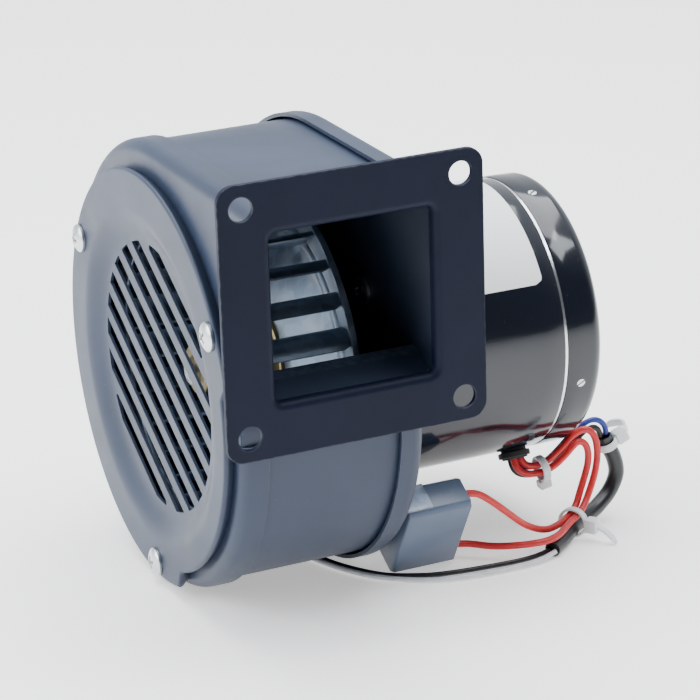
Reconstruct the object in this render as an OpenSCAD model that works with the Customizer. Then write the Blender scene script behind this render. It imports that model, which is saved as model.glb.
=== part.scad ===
// Small centrifugal blower: a pressed steel scroll casing with a square outlet
// flange, a slotted inlet cover, a sirocco impeller and a capacitor-run motor.
// Origin at the middle of the outlet flange's front face. The air leaves along -Y,
// the motor shaft lies along X with the inlet on -X, and Z is up.

/* [Outlet flange] */
// Side of the square flange plate
flange_side = 80; // [76:1:100]
// Thickness of the flange plate
flange_t = 1.5; // [1:0.1:2.5]
// Radius of the flange plate's corners
flange_corner_r = 5; // [2:0.5:6]
// Spacing of the four bolt holes, both ways
bolt_pitch = 66; // [64:0.5:68]
// Diameter of the bolt holes
bolt_hole_d = 7; // [4:0.5:7.5]
// Clear side of the square outlet opening
outlet_side = 49; // [46:0.5:50]
// Bend radius of the lip round the outlet opening
lip_bend_r = 2.4; // [1.8:0.2:3]

/* [Scroll casing] */
// Thickness of the casing sheet
sheet_t = 1.2; // [0.8:0.1:1.6]
// Width of the casing over its two side walls
casing_w = 58; // [58:1:70]
// Distance from the middle of the outlet to the casing's inlet side
inlet_side = 30; // [29:0.5:31]
// Clear height of the duct
duct_h = 57; // [54:0.5:58]
// Distance from the flange face back to the shaft
shaft_back = 77; // [74:1:90]
// Radius of the scroll at its front, below the outlet
scroll_front_r = 60.4; // [60:0.1:66]
// Growth of the scroll's radius from one quarter to the next
scroll_step = 3.3; // [2.4:0.1:4.4]
// Radius of the pressed edge between side wall and scroll wall
edge_r = 4; // [2:0.5:6]
// Outer radius of the folded tongue below the outlet
tongue_r = 3; // [2.2:0.2:4]
// Height of the tongue's fold above the shaft
tongue_rise = 14; // [12.5:0.5:16]
// Radius of the hole in the inlet side, through which the impeller comes out
inlet_r = 52.8; // [52.6:0.1:54]
// Depth of the side pan's skirt over the scroll wall
side_skirt_w = 9; // [6:0.5:12]
// Depth of the rear pan's skirt over the scroll wall
rear_skirt_w = 8; // [6:0.5:12]
// Gap between the side pan's skirt and the scroll wall
side_skirt_gap = 0.1; // [0.1:0.1:0.6]
// Gap between the rear pan's skirt and the scroll wall
rear_skirt_gap = 0.8; // [0.6:0.1:1.2]

/* [Inlet cover] */
// Outer radius of the cover
cover_r = 63.5; // [62:0.5:65]
// Radius of the cover where it is cut back beside the scroll's front
cover_cut_r = 58.7; // [56:0.1:60]
// Angle at which the cut-back stretch starts
cover_cut_from = 166; // [163:1:175]
// Angle at which the cut-back stretch ends
cover_cut_to = 253; // [240:1:256]
// Height of the cover's face above the side wall
cover_h = 3.6; // [3:0.2:4.4]
// Radius of the dish's upper edge
dish_top_r = 50; // [48:0.5:52]
// Radius of the dish's floor
dish_floor_r = 43; // [42:0.5:44]
// Number of slots
slot_count = 9; // [5:2:11]
// Spacing of the slots
slot_pitch = 8.9; // [6:0.1:9]
// Width of one slot
slot_w = 4.4; // [2:0.2:5]
// Slope of the slots
slot_angle = 31; // [0:1:90]
// Radius of the circle that holds the slots
slot_field_r = 41; // [36:0.5:41.5]
// Radius on which the three cover screws sit
cover_screw_r = 59; // [58:0.2:60]
// Thread diameter of the screws
screw_d = 4; // [3:0.5:4]
// Head diameter of the screws
screw_head_d = 8.6; // [7:0.2:9]
// Head height of the screws
screw_head_h = 2.4; // [1.8:0.1:3]

/* [Impeller] */
// Outer radius of the impeller
wheel_r = 52; // [48:0.5:54]
// Depth of the blades from the inside of their ring to the outside
blade_depth = 8.4; // [7:0.1:9]
// Length of the blades along the shaft
blade_l = 36; // [28:1:37]
// Number of blades
blade_count = 26; // [16:1:30]
// Thickness of the blade sheet
blade_t = 0.8; // [0.6:0.1:1]
// Radius to which each blade is curved
blade_bend_r = 8.2; // [8:0.1:10]
// Gap between the back plate and the rear wall
wheel_back_gap = 14; // [12:1:18]
// Radius of the hub
hub_r = 8; // [7:0.5:10]
// Length of the hub
hub_l = 22; // [14:1:23]
// Diameter of the shaft
shaft_d = 8; // [6:0.5:8]

/* [Motor] */
// Outer radius of the motor
motor_r = 42.5; // [40:0.5:44]
// Length of the tube between the two end bells
motor_tube_l = 53; // [50:1:70]
// Wall of the motor tube
motor_wall = 1.2; // [0.8:0.1:1.6]
// Depth of the front bell's visible rim
front_bell_l = 3.5; // [3:0.5:6]
// Depth of the end cap
end_cap_l = 12.5; // [11:0.5:16]
// Width of the bare ring between the tube and the end cap
seam_w = 0.8; // [0.4:0.1:1.5]
// Radius on which the motor's four fixing screws sit
motor_screw_r = 35; // [33:0.5:36]
// Length of the stator stack
stack_l = 30; // [20:1:32]
// Radius of the stator's bore
stator_bore_r = 22; // [20:0.5:24]
// Gap between the rotor and the stator
air_gap = 0.5; // [0.4:0.1:0.8]
// Number of stator teeth
tooth_count = 12; // [8:1:24]

/* [Capacitor and leads] */
// Long side of the capacitor's potted face
cap_l = 29; // [22:1:30]
// Short side of the capacitor's potted face
cap_w = 11.5; // [11:0.5:14]
// Depth of the capacitor from its back to its potted face
cap_d = 21; // [18:1:26]
// Lean of the capacitor from upright
cap_lean = 30; // [20:1:34]
// Wall of the capacitor's plastic case
cap_wall = 1.2; // [0.8:0.1:1.6]
// Diameter of the red capacitor leads
red_lead_d = 2.2; // [1.6:0.1:2.4]
// Diameter of the supply leads
supply_lead_d = 1.6; // [1.2:0.1:1.6]
// Diameter of the motor leads between the motor and the sleeve
motor_lead_d = 1.8; // [1.4:0.1:1.8]
// Diameter of the sleeve over the motor leads
sleeve_d = 5; // [4.4:0.2:5.4]
// Width of the cable ties
tie_w = 2.4; // [1.8:0.2:3]

/* [Hidden] */
$fn = 96;
eps = 0.01;

steel_black = [0.24, 0.26, 0.31];
flange_black = [0.11, 0.12, 0.17];
motor_black = [0.06, 0.06, 0.08];
zinc = [0.78, 0.80, 0.84];
brass = [0.80, 0.64, 0.30];

// Walls of the casing along X
side_x = -inlet_side;
rear_x = casing_w - inlet_side;
rear_in = rear_x - sheet_t;
tongue_l = casing_w - 2 * sheet_t;
strip_l = casing_w - 2 * edge_r;

duct_half = duct_h / 2;
scroll_top_r = scroll_front_r + 3 * scroll_step;
shaft_z = duct_half + sheet_t - scroll_top_r;

// Four centres lay out the scroll, on the corners of a square round the shaft
half_step = scroll_step / 2;
quarter_centre = [[-half_step, -half_step], [half_step, -half_step],
    [half_step, half_step], [-half_step, half_step]];
function quarter_r(i) = scroll_front_r + (i - 0.5) * scroll_step;
side_grow = sheet_t + side_skirt_gap;
rear_grow = sheet_t + rear_skirt_gap;
duct_back = shaft_back - flange_t;

// Fold of the tongue and the floor of the duct, both about the shaft
floor_top = -duct_half - shaft_z;
floor_flat = 1;
tongue_c_r = quarter_r(0) - sheet_t + tongue_r;
tongue_a = 180 - asin((tongue_rise + half_step) / tongue_c_r);
tongue_c = quarter_centre[0] + tongue_c_r * [cos(tongue_a), sin(tongue_a)];
floor_end = [-duct_back + floor_flat, floor_top];
floor_run = tongue_c - floor_end;
floor_dist = norm(floor_run);
floor_slope = atan2(floor_run[1], floor_run[0]) + asin(tongue_r / floor_dist);

cover_face_x = side_x - cover_h;
cover_screw_angles = [30, 150, 270];
shank_r = screw_d / 2;

// Impeller along the shaft
plate_x = rear_in - wheel_back_gap;
blade_x0 = plate_x - blade_l;
wheel_edge_t = 1.2;
ring_edge_l = 3;
blade_outer_r = wheel_r - wheel_edge_t - 0.4;
blade_inner_r = blade_outer_r - blade_depth;
cone_depth = 9;
cone_r0 = 22;
cone_r1 = 36;
web_x = plate_x - cone_depth;
hub_x0 = web_x - hub_l;
shaft_x0 = hub_x0 - 2;
shaft_r = shaft_d / 2;
set_screw_d = 4;
fit = 0.02;

// Motor along the shaft
tube_x0 = rear_x + front_bell_l;
tube_x1 = tube_x0 + motor_tube_l;
cap_x0 = tube_x1 + seam_w;
spigot_r = motor_r - motor_wall - 0.1;
spigot_l = 5;
stack_x0 = (tube_x0 + tube_x1 - stack_l) / 2;
stack_x1 = stack_x0 + stack_l;
winding_l = 7;
rotor_r = stator_bore_r - air_gap;
slot_root_r = 36;
bearing_w = 7;
bearing_r = 11;
bearing_groove_r = 9;
bearing_inner_r = 6;
ball_pitch_r = (bearing_groove_r + bearing_inner_r) / 2;
ball_r = (bearing_groove_r - bearing_inner_r) / 2 - 0.05;
ball_count = 7;
front_bearing_x = rear_x + 2;
rear_bearing_x = cap_x0 + 0.5;
boss_wall = 3;
motor_screw_angles = [45, 135, 225, 315];
end_screw_angles = [15, 105, 195, 285];
end_screw_x = cap_x0 + 5;
end_screw_l = 3;
motor_screw_grip = 3.5;

// The casing's skirt, the capacitor and the leads stand on this height
floor_z = shaft_z - scroll_front_r - scroll_step - rear_grow;

// Capacitor: its lowest corner stands on the floor just behind the rear wall
cap_gap = 2;
cap_x = rear_x + cap_gap;
cap_y = 46;
cap_lug_t = 1;
cap_lug_w = 9;
cap_lug_l = 10;
cap_strap_l = 8;

// Grommet in the motor's underside
grommet_x = tube_x1 - 6;
grommet_a = -116;
grommet_r = 5;
grommet_h = 3;

// Coil of the spare supply lead, behind the casing
coil_at = [4, 119];
coil_mid_r = 9;
coil_layers = 2;
coil_turns = 2;

// A point under the motor: how far along from the grommet, out from the motor's skin, and across
function by_motor(p) = [grommet_x + p[0],
    shaft_back + (motor_r + p[1]) * cos(grommet_a) - p[2] * sin(grommet_a),
    shaft_z + (motor_r + p[1]) * sin(grommet_a) + p[2] * cos(grommet_a)];

// Where the four leads run side by side under the motor
red_lower_run = [[1.3, 3.05, -1.3], [1.3, 4.6, -1.3], [1.8, 5.5, -1.3], [3.9, 6.3, -1.5],
    [7.3, 6.4, -2.1], [10.9, 5, -3.1], [15, 2.3, -4.2], [19, -0.6, -5]];
red_upper_run = [[-1.1, 3.05, -1.3], [-1.1, 5.4, -1.3], [0.2, 7.5, -1.3], [3.5, 8.7, -1.5],
    [7.7, 8.8, -2.1], [12.1, 7.2, -3.1], [16.4, 4.3, -4.2], [20.4, 1.4, -5]];
motor_black_run = [[-1.1, 3.05, 1.2], [-1.1, 5.4, 1.2], [0.2, 7.5, 1.2], [3.5, 8.7, 1],
    [7.7, 8.8, 0.4], [12.1, 7.2, -0.6], [16.4, 4.3, -1.7], [20.4, 1.4, -2.5]];
motor_blue_run = [[1.3, 3.05, 1.2], [1.3, 4.6, 1.2], [1.8, 5.5, 1.2], [3.9, 6.3, 1],
    [7.3, 6.4, 0.4], [10.9, 5, -0.6], [15, 2.3, -1.7], [19, -0.6, -2.5]];

// Routes of the leads, from the motor to their ends
red_lower_route = concat([for (p = red_lower_run) by_motor(p)],
    [[101.6, 53.4, -74.5], [103.9, 52.8, -76.6], [104.7, 52.1, -80.6], [104.5, 51.7, -84.6],
    [103.2, 51, -89.2], [101, 50, -93.5], [98, 47.9, -97], [95.1, 45.9, -98.8], [93.2, 44.5, -99.1],
    [88.9, 41.2, -99.1], [85.2, 38, -99.4], [81.4, 35.2, -99.7], [77, 34, -100], [70.4, 36, -100.6],
    [62.4, 42.2, -101.8], [56.6, 47, -101.5], [50.5, 48.1, -100.9]]);
red_upper_route = concat([for (p = red_upper_run) by_motor(p)],
    [[101.2, 53, -79.5], [102, 52.8, -82.4], [101.7, 52.6, -86], [100.2, 52.2, -90],
    [98, 51, -93.9], [95.9, 49.5, -97.2], [93.6, 47.8, -98.8], [91.8, 46.5, -99.1],
    [88, 43.6, -99.1], [85, 41.6, -99.2], [80, 40, -99.2], [73, 39, -96], [66, 37.4, -90],
    [60, 37.2, -84.6], [55, 37.6, -81], [50.5, 37.8, -80.5]]);
motor_black_route = concat([for (p = motor_black_run) by_motor(p)],
    [[103, 56.6, -76.6], [106, 56.4, -75.9], [107.7, 56.3, -77.2], [108.2, 56.2, -79.7]]);
motor_blue_route = concat([for (p = motor_blue_run) by_motor(p)],
    [[102.2, 56.6, -74.4], [105.7, 56.5, -73.4], [108.6, 56.4, -74.6], [110, 56.3, -76.8],
    [110.1, 56.2, -79]]);
sleeve_route = [[109.4, 56.2, -79.6], [110.6, 56, -82.8], [112.6, 55.6, -87.4],
    [113.2, 55.2, -92.4], [110.6, 54.6, -97.4], [104.8, 52.4, -101], [98.4, 49.3, -102.5],
    [92.5, 45.5, -102.6], [86.6, 40.6, -103.5], [79.6, 35.2, -103.8]];
supply_black_route = [[78.7, 35.9, -104.2], [74, 35.4, -104.9], [67, 35.6, -105.3],
    [58, 36.2, -105.3], [49, 37.2, -105.3], [41, 38.8, -105.3], [34.5, 41.6, -105.3],
    [28.5, 45.4, -105.3], [23, 52.2, -105.3], [18.2, 61, -105.3], [15, 71, -105.3],
    [13, 83, -105.3], [12.6, 96, -105.3], [13.4, 106, -105.3], [13.8, 113.4, -105.3]];
supply_white_route = [[80, 34.1, -104.2], [74, 32.2, -104.9], [66, 31.8, -105.3], [56, 32, -105.3],
    [47, 33.2, -105.3], [38, 36, -105.3], [30.5, 40.8, -105.3], [23.4, 47.8, -105.3],
    [18, 57, -105.3], [14, 67, -105.3], [11.2, 78, -105.3], [10, 90, -105.3], [10.2, 101, -105.3],
    [10.4, 109.4, -105.3]];

// ---------------------------------------------------------------- shared shapes

// Puts a shape that is drawn about the shaft in Y and Z, with its depth along X, at x
module on_shaft(x) {
    translate([x, shaft_back, shaft_z]) rotate([90, 0, 90]) children();
}

module tube(outer_r, inner_r, length) {
    difference() {
        cylinder(r = outer_r, h = length);
        translate([0, 0, -eps]) cylinder(r = inner_r, h = length + 2 * eps);
    }
}

// The part of the plane in one quarter, counted from the front round the bottom
module quarter(i, size) {
    rotate(180 + 90 * (i - 1)) square(size);
}

// Flat side of the scroll and its duct, with the scroll's outline moved out by grow
module side_plan(grow) {
    for (i = [1:3]) {
        translate(quarter_centre[i]) intersection() {
            circle(r = quarter_r(i) + grow);
            quarter(i, 2 * scroll_top_r);
        }
    }
    square(3 * scroll_step, center = true);
    translate([-duct_back, floor_top - sheet_t])
        square([duct_back - half_step, scroll_top_r + grow - floor_top + sheet_t]);
    translate(quarter_centre[0]) intersection() {
        circle(r = quarter_r(0) + grow);
        translate([-2 * scroll_front_r, 0]) square([2 * scroll_front_r, floor_top + half_step]);
    }
}

// Section through a pan's rim: r to its outside, depth from the closed face
module rim_section(r, depth) {
    translate([r - sheet_t, edge_r]) square([sheet_t, depth - edge_r]);
    intersection() {
        translate([r - edge_r, edge_r]) difference() {
            circle(r = edge_r);
            circle(r = edge_r - sheet_t);
        }
        translate([r - edge_r, 0]) square(edge_r);
    }
    translate([r - edge_r - 1, 0]) square([1, sheet_t]);
}

// Section of the plain scroll wall
module strip_section(r, depth) {
    translate([r - sheet_t, 0]) square([sheet_t, depth]);
}

// Carries a section round the scroll and along the top of its duct
module round_the_scroll() {
    for (i = [1:3]) {
        translate(quarter_centre[i]) rotate(180 + 90 * (i - 1))
            rotate_extrude(angle = 90) children(i - 1);
    }
    translate([-duct_back, quarter_centre[3][1], 0]) rotate([90, 0, 90])
        linear_extrude(duct_back - half_step) children(2);
}

// Pressed pan with its flat side down
module pan(grow, depth) {
    round_the_scroll() {
        rim_section(quarter_r(1) + grow, depth);
        rim_section(quarter_r(2) + grow, depth);
        rim_section(quarter_r(3) + grow, depth);
    }
    linear_extrude(sheet_t) side_plan(grow - edge_r);
}

// Folded tongue and duct floor in the plane of the scroll
module tongue_plan() {
    up = [-sin(floor_slope), cos(floor_slope)];
    polygon([[-duct_back, floor_top], floor_end, tongue_c + tongue_r * up,
        tongue_c + (tongue_r - sheet_t) * up,
        floor_end + sheet_t * [tan(floor_slope / 2), -1], [-duct_back, floor_top - sheet_t]]);
    translate(tongue_c) intersection() {
        difference() {
            circle(r = tongue_r);
            circle(r = tongue_r - sheet_t);
        }
        fan = 4 * tongue_r;
        polygon([[0, 0], fan * [cos(tongue_a - 180), sin(tongue_a - 180)], fan * [1, 1], fan * up]);
    }
    translate(quarter_centre[0]) intersection() {
        difference() {
            circle(r = quarter_r(0));
            circle(r = quarter_r(0) - sheet_t);
        }
        reach = 2 * scroll_front_r;
        polygon([[0, 0], [-reach, 0], reach * [cos(tongue_a), sin(tongue_a)]]);
    }
}

// Pan-head screw with a cross recess, head up, its seat at the origin
module pan_screw(length) {
    difference() {
        union() {
            cylinder(d = screw_head_d, h = screw_head_h * 0.45);
            intersection() {
                cylinder(d = screw_head_d, h = screw_head_h);
                translate([0, 0, screw_head_h - screw_head_d * 0.75])
                    sphere(r = screw_head_d * 0.75, $fn = 64);
            }
        }
        for (a = [0, 90]) {
            rotate(a) translate([-screw_head_d * 0.3, -0.5, screw_head_h * 0.5])
                cube([screw_head_d * 0.6, 1, screw_head_h]);
        }
    }
    translate([0, 0, -length]) cylinder(r = shank_r, h = length + eps);
}

// Rounded square that stays a true outline: bars and corner circles
module round_square(side, r) {
    square([side, side - 2 * r], center = true);
    square([side - 2 * r, side], center = true);
    for (x = [-1, 1], y = [-1, 1]) {
        translate([x * (side / 2 - r), y * (side / 2 - r)]) circle(r = r, $fn = 48);
    }
}

// ---------------------------------------------------------------- tubes for leads

function unit(v) = v / norm(v);
function cut_dir(p, i) = unit(p[min(i + 1, len(p) - 1)] - p[max(i - 1, 0)]);
function side_dir(d) = unit(cross(abs(d[1]) > 0.9 ? [1, 0, 0] : [0, 1, 0], d));
function ring(c, d, r, n) = [for (k = [0:n - 1])
    let (s = side_dir(d), t = cross(d, s), a = 360 * k / n) c + r * (cos(a) * s + sin(a) * t)];

module lead(route, d, n = 8) {
    last = len(route) - 1;
    points = [for (i = [0:last]) each ring(route[i], cut_dir(route, i), d / 2, n)];
    sides = [for (i = [0:last - 1], k = [0:n - 1])
        [i * n + k, i * n + (k + 1) % n, (i + 1) * n + (k + 1) % n, (i + 1) * n + k]];
    triangles = [for (q = sides) each [[q[0], q[2], q[1]], [q[0], q[3], q[2]]]];
    start = [for (k = [0:n - 1]) k];
    end = [for (k = [n - 1:-1:0]) last * n + k];
    polyhedron(points, concat(triangles, [start, end]));
}

// ---------------------------------------------------------------- casing

module scroll_wall() {
    color(steel_black) {
        on_shaft(side_x + edge_r) round_the_scroll() {
            strip_section(quarter_r(1), strip_l);
            strip_section(quarter_r(2), strip_l);
            strip_section(quarter_r(3), strip_l);
        }
        on_shaft(side_x + sheet_t) linear_extrude(tongue_l) tongue_plan();
    }
}

module side_pan() {
    color(steel_black) difference() {
        on_shaft(side_x) pan(side_grow, side_skirt_w);
        on_shaft(side_x - eps) cylinder(r = inlet_r, h = sheet_t + 2 * eps);
        for (a = cover_screw_angles) {
            on_shaft(side_x - 1) rotate(a) translate([cover_screw_r, 0, 0])
                cylinder(r = shank_r, h = sheet_t + edge_r);
        }
    }
}

module rear_pan() {
    color(steel_black) difference() {
        translate([rear_x, 0, 0]) mirror([1, 0, 0]) on_shaft(0) pan(rear_grow, rear_skirt_w);
        on_shaft(rear_in - eps) cylinder(r = bearing_r + 1, h = sheet_t + 2 * eps);
        for (a = motor_screw_angles) {
            on_shaft(rear_in - eps) rotate(a) translate([motor_screw_r, 0, 0])
                cylinder(r = shank_r, h = sheet_t + 2 * eps);
        }
        capacitor_frame() translate([cap_lug_x, cap_lug_y, -cap_gap - sheet_t - eps])
            cylinder(r = shank_r, h = sheet_t + 2 * eps);
    }
}

module outlet_flange() {
    color(flange_black) rotate([90, 0, 0]) translate([0, 0, -flange_t]) difference() {
        union() {
            linear_extrude(flange_t) difference() {
                round_square(flange_side, flange_corner_r);
                round_square(outlet_side + 2 * lip_bend_r, lip_bend_r + 2);
            }
            lip_ring();
        }
        for (x = [-1, 1], y = [-1, 1]) {
            translate([x * bolt_pitch / 2, y * bolt_pitch / 2, -eps])
                cylinder(d = bolt_hole_d, h = flange_t + 2 * eps);
        }
    }
}

// Section of the rolled lip: distance from the opening's edge across, depth up
module lip_section() {
    intersection() {
        translate([lip_bend_r, flange_t - lip_bend_r]) difference() {
            circle(r = lip_bend_r, $fn = 64);
            circle(r = lip_bend_r - sheet_t, $fn = 64);
        }
        translate([0, flange_t - lip_bend_r]) square(lip_bend_r);
    }
    translate([lip_bend_r - eps, 0]) square([0.6, flange_t]);
    translate([0, -2]) square([sheet_t, flange_t - lip_bend_r + 2]);
}

module lip_ring() {
    corner = 2;
    run = outlet_side - 2 * corner;
    for (a = [0, 90, 180, 270]) {
        rotate(a) {
            translate([outlet_side / 2, run / 2, 0]) rotate([90, 0, 0])
                linear_extrude(run) lip_section();
            translate([outlet_side / 2 - corner, run / 2, 0]) rotate_extrude(angle = 90)
                translate([corner, 0]) lip_section();
        }
    }
}

// ---------------------------------------------------------------- inlet cover

// Section through the cover's dish and face, with its face down
module dish_section(r) {
    slope = cover_h / (dish_top_r - dish_floor_r);
    under_shift = sheet_t * slope / 2;
    polygon([[0, cover_h], [dish_floor_r, cover_h], [dish_top_r, 0], [r, 0], [r, sheet_t],
        [dish_top_r + under_shift, sheet_t], [dish_floor_r + under_shift, cover_h + sheet_t],
        [0, cover_h + sheet_t]]);
}

// Section through the cover's edge: a flat strip and the riser down to the side wall
module riser_section(r) {
    chamfer = 0.8;
    polygon([[cover_cut_r - 4, 0], [r - chamfer, 0], [r, chamfer], [r, cover_h],
        [r - sheet_t, cover_h], [r - sheet_t, sheet_t], [cover_cut_r - 4, sheet_t]]);
}

module inlet_cover() {
    full_turn = 360 - (cover_cut_to - cover_cut_from);
    lap = 1;
    step_in = 0.05;
    color(steel_black) difference() {
        on_shaft(cover_face_x) {
            rotate_extrude() dish_section(cover_cut_r - 2);
            rotate(cover_cut_to) rotate_extrude(angle = full_turn) riser_section(cover_r);
            rotate(cover_cut_from - lap)
                rotate_extrude(angle = cover_cut_to - cover_cut_from + 2 * lap)
                riser_section(cover_cut_r);
            rotate(cover_cut_to) translate([cover_cut_r - sheet_t, step_in, step_in])
                cube([cover_r - cover_cut_r, sheet_t, cover_h - step_in]);
            rotate(cover_cut_from) translate([cover_cut_r - sheet_t, -sheet_t - step_in, step_in])
                cube([cover_r - cover_cut_r, sheet_t, cover_h - step_in]);
        }
        on_shaft(cover_face_x - 1) linear_extrude(cover_h + sheet_t + 2) intersection() {
            circle(r = slot_field_r);
            rotate(slot_angle) for (i = [0:slot_count - 1]) {
                translate([0, (i - (slot_count - 1) / 2) * slot_pitch])
                    square([3 * slot_field_r, slot_w], center = true);
            }
        }
        for (a = cover_screw_angles) {
            on_shaft(cover_face_x - eps) rotate(a) translate([cover_screw_r, 0, 0])
                cylinder(r = shank_r + 0.2, h = sheet_t + 2 * eps);
        }
    }
}

module cover_screws() {
    color(zinc) for (a = cover_screw_angles) {
        on_shaft(cover_face_x) rotate(a) translate([cover_screw_r, 0, 0])
            rotate([180, 0, 25 + a]) pan_screw(cover_h + sheet_t + 2);
    }
}

// ---------------------------------------------------------------- impeller

module impeller_back_plate() {
    color(zinc) on_shaft(0) rotate_extrude() polygon([
        [hub_r, web_x], [cone_r0, web_x], [cone_r1, plate_x], [wheel_r - wheel_edge_t, plate_x],
        [wheel_r - wheel_edge_t, plate_x - 1.6], [wheel_r, plate_x - 1.6],
        [wheel_r, plate_x + blade_t],
        [cone_r1 - 0.4, plate_x + blade_t], [cone_r0 - 0.4, web_x + blade_t],
        [hub_r, web_x + blade_t]]);
}

// Section of one blade: radial at its inner edge, then curved forward
module blade_plan() {
    intersection() {
        translate([blade_inner_r, blade_bend_r]) difference() {
            circle(r = blade_bend_r, $fn = 64);
            circle(r = blade_bend_r - blade_t, $fn = 64);
        }
        circle(r = blade_outer_r);
        translate([blade_inner_r, -1]) square([2 * blade_bend_r, blade_bend_r + 1]);
    }
}

module impeller_blades() {
    color(zinc) on_shaft(blade_x0) for (i = [0:blade_count - 1]) {
        rotate(360 * i / blade_count) linear_extrude(blade_l) blade_plan();
    }
}

module impeller_front_ring() {
    color(zinc) on_shaft(blade_x0 - blade_t) rotate_extrude() polygon([
        [blade_inner_r - 0.5, 0], [wheel_r, 0], [wheel_r, ring_edge_l],
        [wheel_r - wheel_edge_t, ring_edge_l], [wheel_r - wheel_edge_t, blade_t],
        [blade_inner_r - 0.5, blade_t]]);
}

module impeller_hub() {
    color(brass) difference() {
        on_shaft(hub_x0) {
            tube(hub_r, shaft_r + fit, hub_l + blade_t + 2);
            translate([0, 0, hub_l - 1.6]) tube(cone_r0 - 5, shaft_r + fit, 1.6);
        }
        on_shaft(hub_x0 + hub_l / 3) rotate([0, 90, 0])
            cylinder(d = set_screw_d, h = hub_r + 1);
    }
}

module hub_set_screw() {
    color("dimgray") on_shaft(hub_x0 + hub_l / 3) rotate([0, 90, 0])
        translate([0, 0, shaft_r]) difference() {
            cylinder(d = set_screw_d, h = hub_r - shaft_r - 0.5);
            translate([0, 0, 1.4]) cylinder(r = 1, h = hub_r, $fn = 6);
        }
}

// ---------------------------------------------------------------- motor

module motor_front_bell() {
    color(motor_black) difference() {
        on_shaft(rear_x) {
            cylinder(r = motor_r, h = 2);
            translate([0, 0, 2 - eps]) tube(motor_r, spigot_r - 2, front_bell_l - 2 + eps);
            translate([0, 0, front_bell_l - eps]) tube(spigot_r, spigot_r - 2, spigot_l);
            cylinder(r = bearing_r + boss_wall, h = 2 + bearing_w);
        }
        on_shaft(front_bearing_x) cylinder(r = bearing_r, h = bearing_w + 1);
        on_shaft(rear_x - eps) cylinder(r = shaft_r + 1.5, h = 3);
        for (a = motor_screw_angles) {
            on_shaft(rear_x - eps) rotate(a) translate([motor_screw_r, 0, 0])
                cylinder(r = shank_r, h = 2 + 2 * eps);
        }
    }
}

module motor_fixing_screws() {
    color(zinc) for (a = motor_screw_angles) {
        on_shaft(rear_in) rotate(a) translate([motor_screw_r, 0, 0])
            rotate([180, 0, 15]) pan_screw(sheet_t + motor_screw_grip);
    }
}

module motor_tube() {
    color(motor_black) difference() {
        on_shaft(tube_x0) tube(motor_r, motor_r - motor_wall, motor_tube_l);
        on_shaft(grommet_x) rotate(grommet_a) rotate([0, 90, 0])
            cylinder(r = grommet_r - 1, h = motor_r + 5);
    }
}

module seam_ring() {
    color(zinc) on_shaft(tube_x1) tube(motor_r - 0.3, motor_r - motor_wall, seam_w);
}

module motor_end_cap() {
    color(motor_black) difference() {
        on_shaft(cap_x0) rotate_extrude() difference() {
            union() {
                square([motor_r, end_cap_l - 4]);
                square([motor_r - 4, end_cap_l]);
                translate([motor_r - 4, end_cap_l - 4]) circle(r = 4, $fn = 64);
                square([bearing_r + 6, end_cap_l + 2.5]);
                translate([0, -spigot_l]) square([spigot_r, spigot_l + 1]);
            }
            difference() {
                translate([-1, -spigot_l - 1]) square([motor_r - 1, end_cap_l + spigot_l - 1]);
                translate([-2, -spigot_l]) square([bearing_r + boss_wall + 2, 40]);
            }
            translate([-1, -spigot_l - 1]) square([bearing_r + 1, spigot_l + 1.5 + bearing_w]);
            translate([bearing_r - 1, -spigot_l - 1]) square([boss_wall + 2, spigot_l]);
        }
        for (a = end_screw_angles) {
            on_shaft(end_screw_x) rotate(a) rotate([0, 90, 0])
                translate([0, 0, spigot_r - end_screw_l - 1]) cylinder(r = 1.5, h = 3 * end_screw_l);
        }
    }
}

module end_cap_screws() {
    color("dimgray") for (a = end_screw_angles) {
        on_shaft(end_screw_x) rotate(a) rotate([0, 90, 0])
            translate([0, 0, motor_r - end_screw_l]) difference() {
                cylinder(r = 1.5, h = end_screw_l - 0.4);
                translate([-2, -0.25, end_screw_l - 1]) cube([4, 0.5, 2]);
            }
    }
}

module stator_core() {
    color("gray") on_shaft(stack_x0) linear_extrude(stack_l) difference() {
        circle(r = spigot_r);
        circle(r = stator_bore_r);
        for (i = [0:tooth_count - 1]) {
            rotate(360 * i / tooth_count) {
                translate([stator_bore_r - 1, -1]) square([5, 2]);
                translate([stator_bore_r + 2, -3.5]) square([slot_root_r - stator_bore_r - 2, 7]);
            }
        }
    }
}

module stator_windings() {
    inner = stator_bore_r + 4;
    color([0.72, 0.40, 0.22]) for (x = [stack_x0 - winding_l, stack_x1]) {
        on_shaft(x) rotate_extrude() {
            translate([inner, 1.5]) square([slot_root_r - inner, winding_l - 3]);
            translate([inner + 1.5, 0]) square([slot_root_r - inner - 3, winding_l]);
            for (r = [inner + 1.5, slot_root_r - 1.5], y = [1.5, winding_l - 1.5]) {
                translate([r, y]) circle(r = 1.5, $fn = 32);
            }
        }
    }
}

module bearing_outer_rings() {
    color(zinc) for (x = [front_bearing_x, rear_bearing_x]) {
        on_shaft(x) tube(bearing_r, bearing_groove_r, bearing_w);
    }
}

module bearing_balls() {
    color(zinc) for (x = [front_bearing_x, rear_bearing_x], i = [0:ball_count - 1]) {
        on_shaft(x + bearing_w / 2) rotate(360 * i / ball_count)
            translate([ball_pitch_r, 0, 0]) sphere(r = ball_r, $fn = 32);
    }
}

module bearing_inner_rings() {
    color(zinc) for (x = [front_bearing_x, rear_bearing_x]) {
        on_shaft(x) tube(bearing_inner_r, shaft_r + fit, bearing_w);
    }
}

module motor_shaft() {
    color("lightgray") on_shaft(shaft_x0)
        cylinder(r = shaft_r, h = rear_bearing_x + bearing_w - shaft_x0);
}

module rotor_core() {
    color("gray") on_shaft(stack_x0) tube(rotor_r, shaft_r + fit, stack_l);
}

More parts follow.
